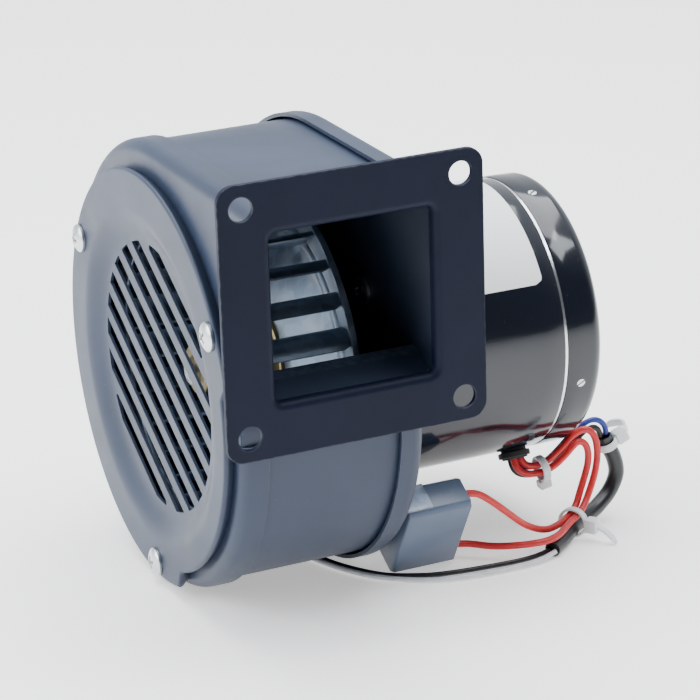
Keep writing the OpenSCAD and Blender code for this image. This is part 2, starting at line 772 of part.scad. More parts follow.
module rotor_end_rings() {
    ring_l = 5;
    color("silver") for (x = [stack_x0 - ring_l, stack_x1]) {
        on_shaft(x) tube(rotor_r - 1, rotor_r - 7, ring_l);
    }
}

// ---------------------------------------------------------------- capacitor

cap_lug_x = cap_w / 2;
cap_lug_y = cap_l + 6;

// The capacitor's own corner is the origin here: width, then length, then depth along X
module capacitor_frame() {
    translate([cap_x, cap_y, floor_z]) rotate([cap_lean, 0, 0]) rotate([90, 0, 90]) children();
}

module capacitor_case() {
    color([0.28, 0.31, 0.36]) capacitor_frame() difference() {
        cube([cap_w, cap_l, cap_d]);
        translate([cap_wall, cap_wall, cap_d - 2])
            cube([cap_w - 2 * cap_wall, cap_l - 2 * cap_wall, 3]);
    }
}

module capacitor_potting() {
    inset = cap_wall + 0.02;
    color([0.20, 0.21, 0.24]) capacitor_frame() translate([inset, inset, cap_d - 2])
        cube([cap_w - 2 * inset, cap_l - 2 * inset, 1.4]);
}

module capacitor_bracket() {
    color(zinc) capacitor_frame() difference() {
        union() {
            translate([cap_lug_x - cap_lug_w / 2, cap_l, -cap_gap])
                cube([cap_lug_w, cap_lug_l, cap_lug_t]);
            translate([cap_lug_x - cap_lug_w / 2, cap_l, -cap_gap])
                cube([cap_lug_w, cap_lug_t, cap_gap + cap_strap_l]);
        }
        translate([cap_lug_x, cap_lug_y, -cap_gap - 1]) cylinder(r = shank_r + 0.2, h = 4);
    }
}

module capacitor_screw() {
    color(zinc) capacitor_frame() translate([cap_lug_x, cap_lug_y, cap_lug_t - cap_gap])
        pan_screw(cap_lug_t + sheet_t + 2);
}

// ---------------------------------------------------------------- leads

module lead_grommet() {
    color([0.05, 0.05, 0.05]) on_shaft(grommet_x) rotate(grommet_a) rotate([0, 90, 0])
        translate([0, 0, motor_r - motor_wall]) {
            cylinder(r = grommet_r - 1.02, h = motor_wall + grommet_h);
            translate([0, 0, motor_wall + 0.6]) cylinder(r = grommet_r, h = grommet_h - 1.2);
        }
}

// Cable tie round a bundle, with its lock towards turn
module tie(inner_r, lock, turn) {
    strap_t = 0.8;
    rotate_extrude() translate([inner_r, -tie_w / 2]) square([strap_t, tie_w]);
    rotate(turn) translate([inner_r + strap_t / 2, -lock / 2, -tie_w / 2 - 0.6])
        cube([lock, lock, tie_w + 1.2]);
}

module lead_clip() {
    color("whitesmoke") translate(by_motor([7.7, 7.6, -0.9])) rotate([0, 80, 0])
        tie(3.4, 3, 0);
}

module upper_tie() {
    color("whitesmoke") translate([110.4, 56, -82.4]) rotate([0, 157, 0]) tie(2.7, 4.2, 180);
}

module lower_tie() {
    color("whitesmoke") translate([92.5, 45.5, -101.35]) rotate([0, 90, 37]) tie(4, 4.2, -90);
}

module lead_coil() {
    r0 = coil_mid_r - coil_turns * supply_lead_d / 2;
    color("dimgray") translate([coil_at[0], coil_at[1], floor_z]) rotate_extrude()
        translate([r0, 0]) square([coil_turns * supply_lead_d, coil_layers * supply_lead_d]);
}

// ---------------------------------------------------------------- assembly

scroll_wall();
side_pan();
rear_pan();
outlet_flange();
inlet_cover();
cover_screws();
motor_front_bell();
motor_fixing_screws();
motor_tube();
seam_ring();
motor_end_cap();
end_cap_screws();
stator_core();
stator_windings();
bearing_outer_rings();
bearing_balls();
lead_grommet();
lead_clip();
capacitor_case();
capacitor_potting();
capacitor_bracket();
capacitor_screw();
upper_tie();
lower_tie();
color([0.07, 0.07, 0.08]) lead(sleeve_route, sleeve_d, 10);  // lead_sleeve
color("red") lead(red_upper_route, red_lead_d);  // red_lead_upper
color("red") lead(red_lower_route, red_lead_d);  // red_lead_lower
color("black") lead(motor_black_route, motor_lead_d);  // motor_lead_black
color("blue") lead(motor_blue_route, motor_lead_d);  // motor_lead_blue
color("black") lead(supply_black_route, supply_lead_d);  // supply_lead_black
color("white") lead(supply_white_route, supply_lead_d);  // supply_lead_white
lead_coil();
impeller_back_plate();
impeller_blades();
impeller_front_ring();
impeller_hub();
hub_set_screw();
motor_shaft();
rotor_core();
rotor_end_rings();
bearing_inner_rings();
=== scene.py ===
import logging
import math
from dataclasses import dataclass
from enum import Enum
from typing import Any, Callable, Optional, Sequence

import bmesh
import bpy
from mathutils import Matrix, Vector


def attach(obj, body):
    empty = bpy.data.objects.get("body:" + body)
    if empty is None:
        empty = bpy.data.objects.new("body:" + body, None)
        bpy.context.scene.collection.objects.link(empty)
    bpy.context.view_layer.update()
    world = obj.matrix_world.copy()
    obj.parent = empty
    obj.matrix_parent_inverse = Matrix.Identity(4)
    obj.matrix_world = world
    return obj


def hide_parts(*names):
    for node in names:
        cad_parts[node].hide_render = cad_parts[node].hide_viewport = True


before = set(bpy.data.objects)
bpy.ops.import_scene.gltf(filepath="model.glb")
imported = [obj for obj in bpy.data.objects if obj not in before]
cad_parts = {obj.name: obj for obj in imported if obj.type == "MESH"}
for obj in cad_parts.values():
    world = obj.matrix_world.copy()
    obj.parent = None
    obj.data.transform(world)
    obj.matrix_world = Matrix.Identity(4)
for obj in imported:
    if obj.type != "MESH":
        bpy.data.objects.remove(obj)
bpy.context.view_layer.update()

LOG = logging.getLogger("blower")
MM = 0.001
CORNERS = ((-1, -1), (1, -1), (1, 1), (-1, 1))
SHAFT_Y = 77.0
SHAFT_Z = -40.6
FULL_TURN = 2 * math.pi

Point = Sequence[float]
Face = Sequence[int]
Colour = tuple[float, float, float]


class Body(Enum):
    """The two bodies of the frame."""

    HOUSING = "housing"
    ROTOR = "rotor"


# ------------------------------------------------------------------ nodes


def put(tree: bpy.types.NodeTree, value: Any, socket: bpy.types.NodeSocket) -> None:
    """Links an output to a socket, or sets a plain number, vector or colour on it.

    Args:
        tree: The node tree.
        value: A Value, an output socket, a number, a vector or a colour.
        socket: The socket that takes it.
    """
    value = value.socket if isinstance(value, Value) else value
    if isinstance(value, bpy.types.NodeSocket):
        tree.links.new(value, socket)
    elif socket.type == "RGBA":
        socket.default_value = (*value[:3], 1.0)
    else:
        socket.default_value = value


def add_node(tree: bpy.types.NodeTree, kind: str, inputs: Optional[dict[Any, Any]] = None,
             **settings: Any) -> bpy.types.Node:
    """Adds a node to a tree.

    Args:
        tree: The node tree.
        kind: The node's type.
        inputs: What its sockets take, by name or number.
        **settings: Its properties.

    Returns:
        The node.
    """
    node = tree.nodes.new(kind)
    for key, value in settings.items():
        setattr(node, key, value)
    for key, value in (inputs or {}).items():
        put(tree, value, node.inputs[key])
    return node


def operator(operation: str, swapped: bool = False) -> Callable[["Value", Any], "Value"]:
    """Makes one of Value's arithmetic operators.

    Args:
        operation: The Math node's operation.
        swapped: Whether the other number comes first.

    Returns:
        The operator.
    """
    def apply(self: "Value", other: Any) -> "Value":
        """Adds the Math node."""
        return self.maths(operation, *((other, self) if swapped else (self, other)))
    return apply


class Value:
    """One output of a shader node. Arithmetic on it adds Math nodes."""

    def __init__(self, coat: "Coat", socket: bpy.types.NodeSocket) -> None:
        """Keeps the material that is being built and the socket.

        Args:
            coat: The material that the socket belongs to.
            socket: The node's output.
        """
        self.coat = coat
        self.socket = socket

    def maths(self, operation: str, first: Any, second: Any = 0.0) -> "Value":
        """Adds one Math node.

        Args:
            operation: The Math node's operation.
            first: Its first value.
            second: Its second value.

        Returns:
            The node's result.
        """
        return self.coat.node("ShaderNodeMath", {0: first, 1: second}, operation=operation)

    __add__, __radd__ = operator("ADD"), operator("ADD", True)
    __sub__, __rsub__ = operator("SUBTRACT"), operator("SUBTRACT", True)
    __mul__, __rmul__ = operator("MULTIPLY"), operator("MULTIPLY", True)
    __pow__ = operator("POWER")

    def sine(self) -> "Value":
        """Sine of the value."""
        return self.maths("SINE", self)

    def waves(self, rate: float) -> "Value":
        """Waves between nought and one, at a rate in radians."""
        return (self * rate).sine() * 0.5 + 0.5

    def ramp(self, start: float, end: float) -> "Value":
        """Rises smoothly from nought to one between two limits.

        Args:
            start: Where the rise starts.
            end: Where it ends.

        Returns:
            The risen value.
        """
        return self.coat.node("ShaderNodeMapRange", {0: self, 1: start, 2: end},
                              interpolation_type="SMOOTHSTEP")


class Coat:
    """A material under construction: one Principled shader and the nodes that feed it."""

    def __init__(self, name: str) -> None:
        """Starts a material.

        Args:
            name: The material's name.
        """
        self.material = bpy.data.materials.new(name)
        self.material.use_nodes = True
        self.tree = self.material.node_tree
        self.tree.nodes.clear()
        self.shader = add_node(self.tree, "ShaderNodeBsdfPrincipled")
        add_node(self.tree, "ShaderNodeOutputMaterial", {0: self.shader.outputs[0]})

    def node(self, kind: str, inputs: Optional[dict[Any, Any]] = None, output: Any = 0,
             **settings: Any) -> Value:
        """Adds one node.

        Args:
            kind: The node's type.
            inputs: The values or links of its sockets, by name or number.
            output: The output that is wanted, by name or number.
            **settings: Its properties.

        Returns:
            That output.
        """
        return Value(self, add_node(self.tree, kind, inputs, **settings).outputs[output])

    def feed(self, **sockets: Any) -> None:
        """Sets or links the shader's own sockets; an underscore stands for a space."""
        for name, value in sockets.items():
            put(self.tree, value, self.shader.inputs[name.replace("_", " ")])

    def place(self) -> Value:
        """The point on the piece, in metres."""
        return self.node("ShaderNodeTexCoord", output="Object")

    def parts(self, vector: Value) -> tuple[Value, Value, Value]:
        """A vector's X, Y and Z."""
        split = add_node(self.tree, "ShaderNodeSeparateXYZ", {0: vector})
        return tuple(Value(self, output) for output in split.outputs)

    def along(self) -> tuple[Value, Value]:
        """The way round a cord and the way along it."""
        return self.parts(self.node("ShaderNodeUVMap", uv_map="UVMap"))[:2]

    def axes(self) -> tuple[Value, Value, Value]:
        """The point's X, Y and Z."""
        return self.parts(self.place())

    def about_shaft(self) -> tuple[Value, Value]:
        """The point's place along the shaft and its distance from it."""
        x, y, z = self.axes()
        return x, ((y - SHAFT_Y * MM) ** 2.0 + (z - SHAFT_Z * MM) ** 2.0) ** 0.5

    def noise(self, scale: float, detail: float = 3.0, stretch: Point = (1, 1, 1)) -> Value:
        """Soft noise over the piece.

        Args:
            scale: Features per metre.
            detail: How many finer octaves are added.
            stretch: Scale of the pattern along each axis.

        Returns:
            A value round one half.
        """
        vector = self.node("ShaderNodeMapping",
                           {"Vector": self.place(), "Scale": Vector(stretch)})
        return self.node("ShaderNodeTexNoise",
                         {"Vector": vector, "Scale": scale, "Detail": detail})

    def cells(self, scale: float, output: str = "Color") -> Value:
        """A cell pattern over the piece.

        Args:
            scale: Cells per metre.
            output: The output that is wanted.

        Returns:
            That output.
        """
        return self.node("ShaderNodeTexVoronoi", {"Vector": self.place(), "Scale": scale},
                         output)

    def blend(self, factor: Any, low: Any, high: Any) -> Value:
        """Mixes two colours.

        Args:
            factor: How much of the second shows.
            low: The first colour.
            high: The second colour.

        Returns:
            The mixed colour.
        """
        return self.node("ShaderNodeMix", {0: factor, 6: low, 7: high}, 2, data_type="RGBA")

    def tones(self, factor: Any, colour: Colour, low: float, high: float) -> Value:
        """Blend of a darker and a lighter shade of one colour."""
        return self.blend(factor, shade(colour, low), shade(colour, high))

    def relief(self, height: Value, depth: float, strength: float = 1.0) -> Value:
        """Turns a height pattern into a surface normal.

        Args:
            height: The pattern.
            depth: The height in metres of one whole step.
            strength: How much of it shows.

        Returns:
            The normal.
        """
        return self.node("ShaderNodeBump",
                         {"Height": height, "Distance": depth, "Strength": strength})

    def wear_and_highlight_edges(self, radius: float) -> Value:
        """One along the piece's edges and nought on its flats; used for edge wear and a painted
        edge highlight.

        Args:
            radius: Half the width of the band along an edge.

        Returns:
            The mask.
        """
        round_normal = self.node("ShaderNodeBevel", {"Radius": radius}, samples=4)
        flat_normal = self.node("ShaderNodeNewGeometry", output="Normal")
        likeness = self.node("ShaderNodeVectorMath", {0: round_normal, 1: flat_normal},
                             "Value", operation="DOT_PRODUCT")
        return (1.0 - likeness).ramp(0.02, 0.22)


def shade(colour: Colour, factor: float) -> Colour:
    """Colour made lighter or darker.

    Args:
        colour: The colour.
        factor: What its parts are multiplied by.

    Returns:
        The new colour.
    """
    return tuple(min(1.0, part * factor) for part in colour)


# ------------------------------------------------------------------ finishes


@dataclass(frozen=True)
class PowderCoat:
    """Satin powder coat on pressed steel: fine orange peel, cloudy sheen, worn edges with a painted
    highlight.
    """

    name: str
    colour: Colour
    roughness: float = 0.42
    peel: float = 0.000022
    # How much of the edge colour shows: edge wear together with a painted edge highlight.
    edge_wear_and_highlight: float = 0.5
    index: float = 1.42
    # The edge colour: bare steel where worn, and a painted highlight along the edges.
    bare: Colour = (0.08, 0.1, 0.15)

    def make(self) -> bpy.types.Material:
        """Builds the material."""
        coat = Coat(self.name)
        cloud = coat.noise(28.0, 4.0)
        flecks = coat.noise(900.0, 2.0).ramp(0.66, 0.74)
        tone = coat.tones(cloud.ramp(0.3, 0.7), self.colour, 0.88, 1.14)
        dusty = coat.blend(flecks * 0.16, tone, shade(self.colour, 2.6))
        # Edge band that takes the bare colour: wear, and a painted highlight of the edges.
        edge = coat.wear_and_highlight_edges(0.0007) * coat.noise(420.0, 3.0).ramp(0.32, 0.62)
        coat.feed(Base_Color=coat.blend(edge * self.edge_wear_and_highlight, dusty, self.bare))
        rub = coat.noise(70.0, 5.0, (1, 1, 1))
        coat.feed(Roughness=self.roughness - 0.06 + rub * 0.14 - edge * 0.08, IOR=self.index)
        peel = coat.noise(1500.0, 2.0) + coat.noise(4200.0, 1.0) * 0.5
        coat.feed(Normal=coat.relief(peel, self.peel))
        return coat.material


@dataclass(frozen=True)
class GlossPaint:
    """Glossy sprayed paint with a slow waviness, dust and fine handling marks."""

    name: str
    colour: Colour
    roughness: float = 0.1
    metallic: float = 0.0

    def make(self) -> bpy.types.Material:
        """Builds the material."""
        coat = Coat(self.name)
        cloud = coat.noise(45.0, 3.0)
        specks = coat.noise(1300.0, 2.0).ramp(0.7, 0.78)
        marks = coat.noise(260.0, 4.0, (0.12, 1, 1)).ramp(0.6, 0.78)
        tone = coat.tones(cloud, self.colour, 0.85, 1.3)
        coat.feed(Base_Color=coat.blend(specks * 0.2, tone, (0.12, 0.13, 0.15)))
        coat.feed(Roughness=self.roughness + specks * 0.2 + marks * 0.07 + cloud * 0.05)
        coat.feed(Metallic=self.metallic, Coat_Roughness=0.06, Coat_Weight=0.25, IOR=1.5)
        wave = coat.noise(120.0, 2.0) + coat.noise(1100.0, 1.0) * 0.06
        coat.feed(Normal=coat.relief(wave, 0.00006, 0.5))
        return coat.material


@dataclass(frozen=True)
class PlatedSteel:
    """Zinc-plated or bright steel with a mottled sheen and small pits."""

    name: str
    colour: Colour = (0.68, 0.69, 0.7)
    roughness: float = 0.26
    mottle: float = 0.12

    def make(self) -> bpy.types.Material:
        """Builds the material."""
        coat = Coat(self.name)
        cloud = coat.noise(420.0, 4.0)
        stain = coat.noise(150.0, 5.0).ramp(0.52, 0.72)
        tone = coat.tones(cloud, self.colour, 0.82, 1.08)
        coat.feed(Base_Color=coat.blend(stain * 0.35, tone, (0.46, 0.43, 0.38)))
        coat.feed(Metallic=1.0 - stain * 0.15, Roughness=self.roughness + cloud * self.mottle)
        pits = coat.noise(2200.0, 3.0).ramp(0.56, 0.7)
        coat.feed(Normal=coat.relief(cloud * 0.6 - pits * 0.4, 0.00002))
        return coat.material


@dataclass(frozen=True)
class Galvanised:
    """Hot-dip galvanised sheet: spangle cells of differing shine under a thin grey haze."""

    name: str
    colour: Colour = (0.55, 0.58, 0.62)
    cell: float = 240.0

    def make(self) -> bpy.types.Material:
        """Builds the material."""
        coat = Coat(self.name)
        spangle = coat.cells(self.cell)
        level = coat.node("ShaderNodeRGBToBW", {0: spangle})
        haze = coat.noise(90.0, 4.0)
        tone = coat.tones(level, self.colour, 0.72, 1.22)
        coat.feed(Base_Color=coat.blend(haze.ramp(0.45, 0.75) * 0.4, tone, (0.5, 0.52, 0.55)))
        coat.feed(Metallic=0.92 - haze * 0.12, Roughness=0.24 + level * 0.2 + haze * 0.08)
        grain = coat.noise(1800.0, 3.0)
        coat.feed(Normal=coat.relief(level * 0.5 + grain * 0.5, 0.00002, 0.8))
        return coat.material


@dataclass(frozen=True)
class TurnedMetal:
    """Turned or ground bar stock, with tool rings round the shaft's axis."""

    name: str
    colour: Colour
    roughness: float = 0.22
    ring: float = 9000.0

    def make(self) -> bpy.types.Material:
        """Builds the material."""
        coat = Coat(self.name)
        x, radius = coat.about_shaft()
        rings = (radius + x).waves(self.ring)
        cloud = coat.noise(500.0, 4.0)
        tone = coat.tones(cloud, self.colour, 0.78, 1.12)
        coat.feed(Base_Color=coat.blend(rings * 0.25, tone, shade(self.colour, 0.6)))
        coat.feed(Metallic=1.0, Roughness=self.roughness + cloud * 0.16)
        coat.feed(Normal=coat.relief(rings + cloud, 0.000006))
        return coat.material


@dataclass(frozen=True)
class Laminated:
    """A stack of punched steel laminations, seen as fine lines across the shaft's axis."""

    name: str
    colour: Colour = (0.3, 0.31, 0.33)
    sheet: float = 0.5

    def make(self) -> bpy.types.Material:
        """Builds the material."""
        coat = Coat(self.name)
        sheets = coat.axes()[0].waves(FULL_TURN / (self.sheet * MM))
        rust = coat.noise(300.0, 5.0).ramp(0.56, 0.74)
        tone = coat.tones(sheets, self.colour, 0.55, 1.15)
        coat.feed(Base_Color=coat.blend(rust * 0.5, tone, (0.22, 0.12, 0.06)))
        coat.feed(Metallic=0.85 - rust * 0.4, Roughness=0.4 + sheets * 0.12 + rust * 0.25)
        coat.feed(Normal=coat.relief(sheets, 0.00004))
        return coat.material


@dataclass(frozen=True)
class WoundCopper:
    """Enamelled copper wire lying round the stator, varnished."""

    name: str
    colour: Colour = (0.5, 0.2, 0.07)
    wire: float = 0.55

    def make(self) -> bpy.types.Material:
        """Builds the material."""
        coat = Coat(self.name)
        x, radius = coat.about_shaft()
        wires = (radius - x).waves(FULL_TURN / (self.wire * MM))
        drips = coat.noise(260.0, 4.0).ramp(0.5, 0.7)
        tone = coat.tones(wires, self.colour, 0.45, 1.25)
        coat.feed(Base_Color=coat.blend(drips * 0.4, tone, (0.24, 0.1, 0.03)))
        coat.feed(Metallic=0.7 - drips * 0.3, Roughness=0.3 + drips * 0.15, Coat_Weight=0.5)
        coat.feed(Normal=coat.relief(wires, 0.00016))
        return coat.material


@dataclass(frozen=True)
class MouldedPlastic:
    """Moulded plastic or rubber with a fine spark-eroded grain and slight sink marks."""

    name: str
    colour: Colour
    roughness: float = 0.42
    grain: float = 0.00002
    glow: float = 0.0

    def make(self) -> bpy.types.Material:
        """Builds the material."""
        coat = Coat(self.name)
        cloud = coat.noise(90.0, 4.0)
        dust = coat.noise(700.0, 4.0).ramp(0.6, 0.76)
        tone = coat.tones(cloud, self.colour, 0.88, 1.1)
        pale = tuple(0.6 * part + 0.14 for part in self.colour)
        coat.feed(Base_Color=coat.blend(dust * 0.2, tone, pale))
        coat.feed(Roughness=self.roughness - 0.05 + cloud * 0.12 + dust * 0.1)
        coat.feed(Subsurface_Weight=self.glow, Subsurface_Radius=Vector((0.002, 0.002, 0.002)))
        grain = coat.noise(3200.0, 2.0) + coat.noise(240.0, 2.0) * 2.0
        coat.feed(Normal=coat.relief(grain, self.grain))
        return coat.material


@dataclass(frozen=True)
class PouredResin:
    """Potting resin: a glossy skin that creeps up at the wall, with a few bubbles."""

    name: str
    colour: Colour = (0.02, 0.022, 0.028)

    def make(self) -> bpy.types.Material:
        """Builds the material."""
        coat = Coat(self.name)
        swirl = coat.noise(160.0, 5.0)
        bubbles = coat.cells(650.0, "Distance")
        pits = 1.0 - bubbles.ramp(0.06, 0.2)
        coat.feed(Base_Color=coat.tones(swirl, self.colour, 0.7, 2.2))
        coat.feed(Roughness=0.16 + swirl * 0.22, IOR=1.55)
        coat.feed(Normal=coat.relief(swirl * 2.0 - pits * 0.5, 0.00012))
        return coat.material


@dataclass(frozen=True)
class Insulation:
    """Extruded lead insulation: soft gloss, faint lines along the lead and slight waviness."""

    name: str
    colour: Colour
    roughness: float = 0.32
    lines: int = 9
    waves: int = 160

    def make(self) -> bpy.types.Material:
        """Builds the material."""
        coat = Coat(self.name)
        around, along = coat.along()
        lines = around.waves(FULL_TURN * self.lines)
        smear = coat.noise(330.0, 4.0)
        scuff = coat.noise(1500.0, 3.0).ramp(0.6, 0.74)
        tone = coat.tones(smear, self.colour, 0.8, 1.12)
        pale = tuple(0.75 * part + 0.12 for part in self.colour)
        coat.feed(Base_Color=coat.blend(scuff * 0.22, tone, pale))
        coat.feed(Roughness=self.roughness + smear * 0.14 + scuff * 0.12)
        wave = (along * (FULL_TURN * self.waves)).sine() * 0.5
        coat.feed(Normal=coat.relief(lines * 0.25 + wave * 0.3 + smear, 0.00003))
        return coat.material


@dataclass(frozen=True)
class StrandedCopper:
    """The twisted bare strands at a lead's stripped end."""

    name: str
    colour: Colour = (0.8, 0.42, 0.24)
    strands: float = 7.0
    lay: float = 420.0

    def make(self) -> bpy.types.Material:
        """Builds the material."""
        coat = Coat(self.name)
        around, along = coat.along()
        twist = (around * self.strands + along * self.lay).waves(FULL_TURN)
        cloud = coat.noise(800.0, 3.0)
        tone = coat.blend(twist, shade(self.colour, 0.4), self.colour)
        coat.feed(Base_Color=coat.blend(cloud * 0.3, tone, shade(self.colour, 0.7)))
        coat.feed(Metallic=1.0, Roughness=0.24 + cloud * 0.18)
        coat.feed(Normal=coat.relief(twist, 0.00012))
        return coat.material


@dataclass(frozen=True)
class PaperLabel:
    """A bare coated paper label with a faint fibre and slightly lifted edges."""

    name: str
    colour: Colour = (0.9, 0.9, 0.88)

    def make(self) -> bpy.types.Material:
        """Builds the material."""
        coat = Coat(self.name)
        fibre = coat.noise(1800.0, 5.0, (1, 1, 0.3))
        rub = coat.noise(70.0, 4.0)
        tone = coat.tones(fibre, self.colour, 0.93, 1.04)
        coat.feed(Base_Color=coat.blend(rub.ramp(0.55, 0.8) * 0.25, tone, (0.78, 0.79, 0.8)))
        coat.feed(Roughness=0.34 + rub * 0.16)
        coat.feed(Normal=coat.relief(fibre + rub * 4.0, 0.00001))
        return coat.material


@dataclass(frozen=True)
class StudioPaper:
    """The pale paper sweep under the part."""

    name: str
    colour: Colour = (0.97, 0.955, 0.93)
    glow: float = 0.55

    def make(self) -> bpy.types.Material:
        """Builds the material."""
        coat = Coat(self.name)
        tooth = coat.noise(260.0, 4.0)
        cloud = coat.noise(2.2, 2.0)
        tone = coat.blend(cloud, shade(self.colour, 0.99), self.colour)
        lit = coat.axes()[1].ramp(-0.62, 0.05)
        coat.feed(Base_Color=tone, Roughness=0.82 + tooth * 0.1)
        coat.feed(Emission_Color=coat.blend(lit, shade(self.colour, 0.25), self.colour),
                  Emission_Strength=self.glow)
        coat.feed(Normal=coat.relief(tooth, 0.00002, 0.3))
        return coat.material


class Finishes:
    """Every finish of the blower, made once and then shared."""

    def __init__(self) -> None:
        """Makes the materials."""
        list_of = [
            PowderCoat("casing_coat", (0.023, 0.033, 0.06)),
            PowderCoat("flange_coat", (0.0028, 0.005, 0.0175), roughness=0.5, peel=0.00002,
                       # The flange's edges get a strong edge colour: wear and a painted highlight.
                       edge_wear_and_highlight=0.8, index=1.25, bare=(0.09, 0.105, 0.14)),
            GlossPaint("motor_gloss", (0.004, 0.0055, 0.011)),
            PlatedSteel("screw_zinc"),
            PlatedSteel("bright_seam", (0.82, 0.82, 0.84), roughness=0.16, mottle=0.06),
            PlatedSteel("black_screw", (0.12, 0.12, 0.13), roughness=0.3, mottle=0.1),
            PlatedSteel("bearing_steel", (0.6, 0.61, 0.62), roughness=0.14, mottle=0.08),
            Galvanised("wheel_zinc", (0.24, 0.3, 0.385)),
            Galvanised("bracket_zinc", (0.13, 0.16, 0.22), cell=320.0),
            TurnedMetal("hub_brass", (0.34, 0.28, 0.15), 0.32),
            TurnedMetal("shaft_steel", (0.62, 0.62, 0.63), 0.16),
            TurnedMetal("cast_bars", (0.62, 0.63, 0.65), roughness=0.4, ring=2500.0),
            Laminated("core_sheets"),
            WoundCopper("winding_copper"),
            MouldedPlastic("black_rubber", (0.012, 0.012, 0.013), roughness=0.6, grain=0.00003),
            MouldedPlastic("tie_nylon", (0.8, 0.82, 0.84), roughness=0.3, grain=0.00001,
                           glow=0.25),
            MouldedPlastic("capacitor_plastic", (0.095, 0.125, 0.19), roughness=0.3,
                           grain=0.000012),
            PouredResin("capacitor_resin"),
            Insulation("red_insulation", (0.62, 0.02, 0.022)),
            Insulation("black_insulation", (0.009, 0.01, 0.014)),
            Insulation("blue_insulation", (0.012, 0.03, 0.3)),
            Insulation("white_insulation", (0.74, 0.75, 0.78)),
            Insulation("black_sleeve", (0.011, 0.012, 0.014), 0.26),
            StrandedCopper("lead_strands"),
            PaperLabel("blank_label"),
            StudioPaper("studio_paper"),
        ]
        self.of = {finish.name: finish.make() for finish in list_of}


# ------------------------------------------------------------------ mesh work


def at_shaft(x: float, radius: float, angle: float) -> Vector:
    """A point about the shaft, in metres.

    Args:
        x: Place along the shaft, in millimetres.
        radius: Distance from the shaft, in millimetres.
        angle: Angle from +Y towards +Z, in degrees.

    Returns:
        The point.
    """
    turn = math.radians(angle)
    return Vector((x, SHAFT_Y + radius * math.cos(turn), SHAFT_Z + radius * math.sin(turn))) * MM


def new_object(name: str, data: bpy.types.ID) -> bpy.types.Object:
    """Puts a mesh, a light or a camera into the scene.

    Args:
        name: The object's name.
        data: The mesh, light or camera.

    Returns:
        The object, at the origin.
    """
    piece = bpy.data.objects.new(name, data)
    bpy.context.scene.collection.objects.link(piece)
    return piece


def from_faces(name: str, points: Sequence[Point], faces: Sequence[Face],
               weld: float = 1e-7) -> bpy.types.Object:
    """Makes an object of points and faces, with its doubles merged and normals outward.

    Args:
        name: The object's name.
        points: The points, in metres.
        faces: The faces.
        weld: Distance within which points become one.

    Returns:
        The object.
    """
    mesh = bpy.data.meshes.new(name)
    mesh.from_pydata([tuple(p) for p in points], [], [tuple(f) for f in faces])
    work = bmesh.new()
    work.from_mesh(mesh)
    bmesh.ops.remove_doubles(work, verts=work.verts, dist=weld)
    bmesh.ops.recalc_face_normals(work, faces=work.faces)
    work.to_mesh(mesh)
    work.free()
    mesh.validate()
    return new_object(name, mesh)


def smooth(piece: bpy.types.Object, angle: float = 32.0) -> bpy.types.Object:
    """Shades a piece smooth, apart from edges sharper than an angle.

    Args:
        piece: The piece.
        angle: That angle, in degrees.

    Returns:
        The piece.
    """
    mesh = piece.data
    mesh.polygons.foreach_set("use_smooth", [True] * len(mesh.polygons))
    mesh.set_sharp_from_angle(angle=math.radians(angle))
    return piece


def soften(piece: bpy.types.Object, width: float, segments: int = 2,
           angle: float = 35.0) -> bpy.types.Object:
    """Rounds a piece's edges for good.

    Args:
        piece: The piece.
        width: The rounding's width, in millimetres.
        segments: Faces across it.
        angle: Edges sharper than this are rounded, in degrees.

    Returns:
        The piece.
    """
    rounding = piece.modifiers.new("rounding", "BEVEL")
    rounding.width = width * MM
    rounding.segments = segments
    rounding.limit_method = "ANGLE"
    rounding.angle_limit = math.radians(angle)
    rounding.harden_normals = False
    return settle(piece)


def baked(piece: bpy.types.Object) -> bpy.types.Object:
    """Turns what a piece's modifiers make into its plain mesh.

    Args:
        piece: The piece.

    Returns:
        The piece, without modifiers.
    """
    bpy.context.view_layer.update()
    graph = bpy.context.evaluated_depsgraph_get()
    mesh = bpy.data.meshes.new_from_object(piece.evaluated_get(graph))
    old = piece.data
    piece.modifiers.clear()
    piece.data = mesh
    mesh.name = piece.name
    bpy.data.meshes.remove(old)
    return piece


def settle(piece: bpy.types.Object) -> bpy.types.Object:
    """Bakes a piece's modifiers and shades it smooth."""
    return smooth(baked(piece))


def thickened(piece: bpy.types.Object, wall: float, offset: float) -> bpy.types.Object:
    """Gives an open skin its wall.

    Args:
        piece: The skin.
        wall: The wall's thickness, in millimetres.
        offset: -1 where the wall lies behind the skin, 0 where it is centred on it.

    Returns:
        The piece.
    """
    tool = piece.modifiers.new("wall", "SOLIDIFY")
    tool.thickness = wall * MM
    tool.offset = offset
    return settle(piece)


def eased(share: float) -> float:
    """Rises smoothly from nought to one as the share does, and is level beyond."""
    share = min(1.0, max(0.0, share))
    return share * share * (3 - 2 * share)


def turned_faces(count: int, steps: int, closed: bool = True) -> list[Face]:
    """Faces between the copies of a profile that goes round a whole circle.

    Args:
        count: Points in the profile.
        steps: Copies round the circle.
        closed: Whether the profile closes on itself.

    Returns:
        The faces.
    """
    return [(k * count + i, k * count + (i + 1) % count,
             (k + 1) % steps * count + (i + 1) % count, (k + 1) % steps * count + i)
            for k in range(steps) for i in range(count if closed else count - 1)]


def stacked_faces(count: int, rows: int) -> list[Face]:
    """Faces of outlines stacked on one another: the sides, then the two ends.

    Args:
        count: Points in each outline.
        rows: Outlines in the stack.

    Returns:
        The faces.
    """
    sides = [(k * count + i, k * count + (i + 1) % count,
              (k + 1) * count + (i + 1) % count, (k + 1) * count + i)
             for k in range(rows - 1) for i in range(count)]
    top = (rows - 1) * count
    return sides + [tuple(range(count - 1, -1, -1)), tuple(range(top, top + count))]


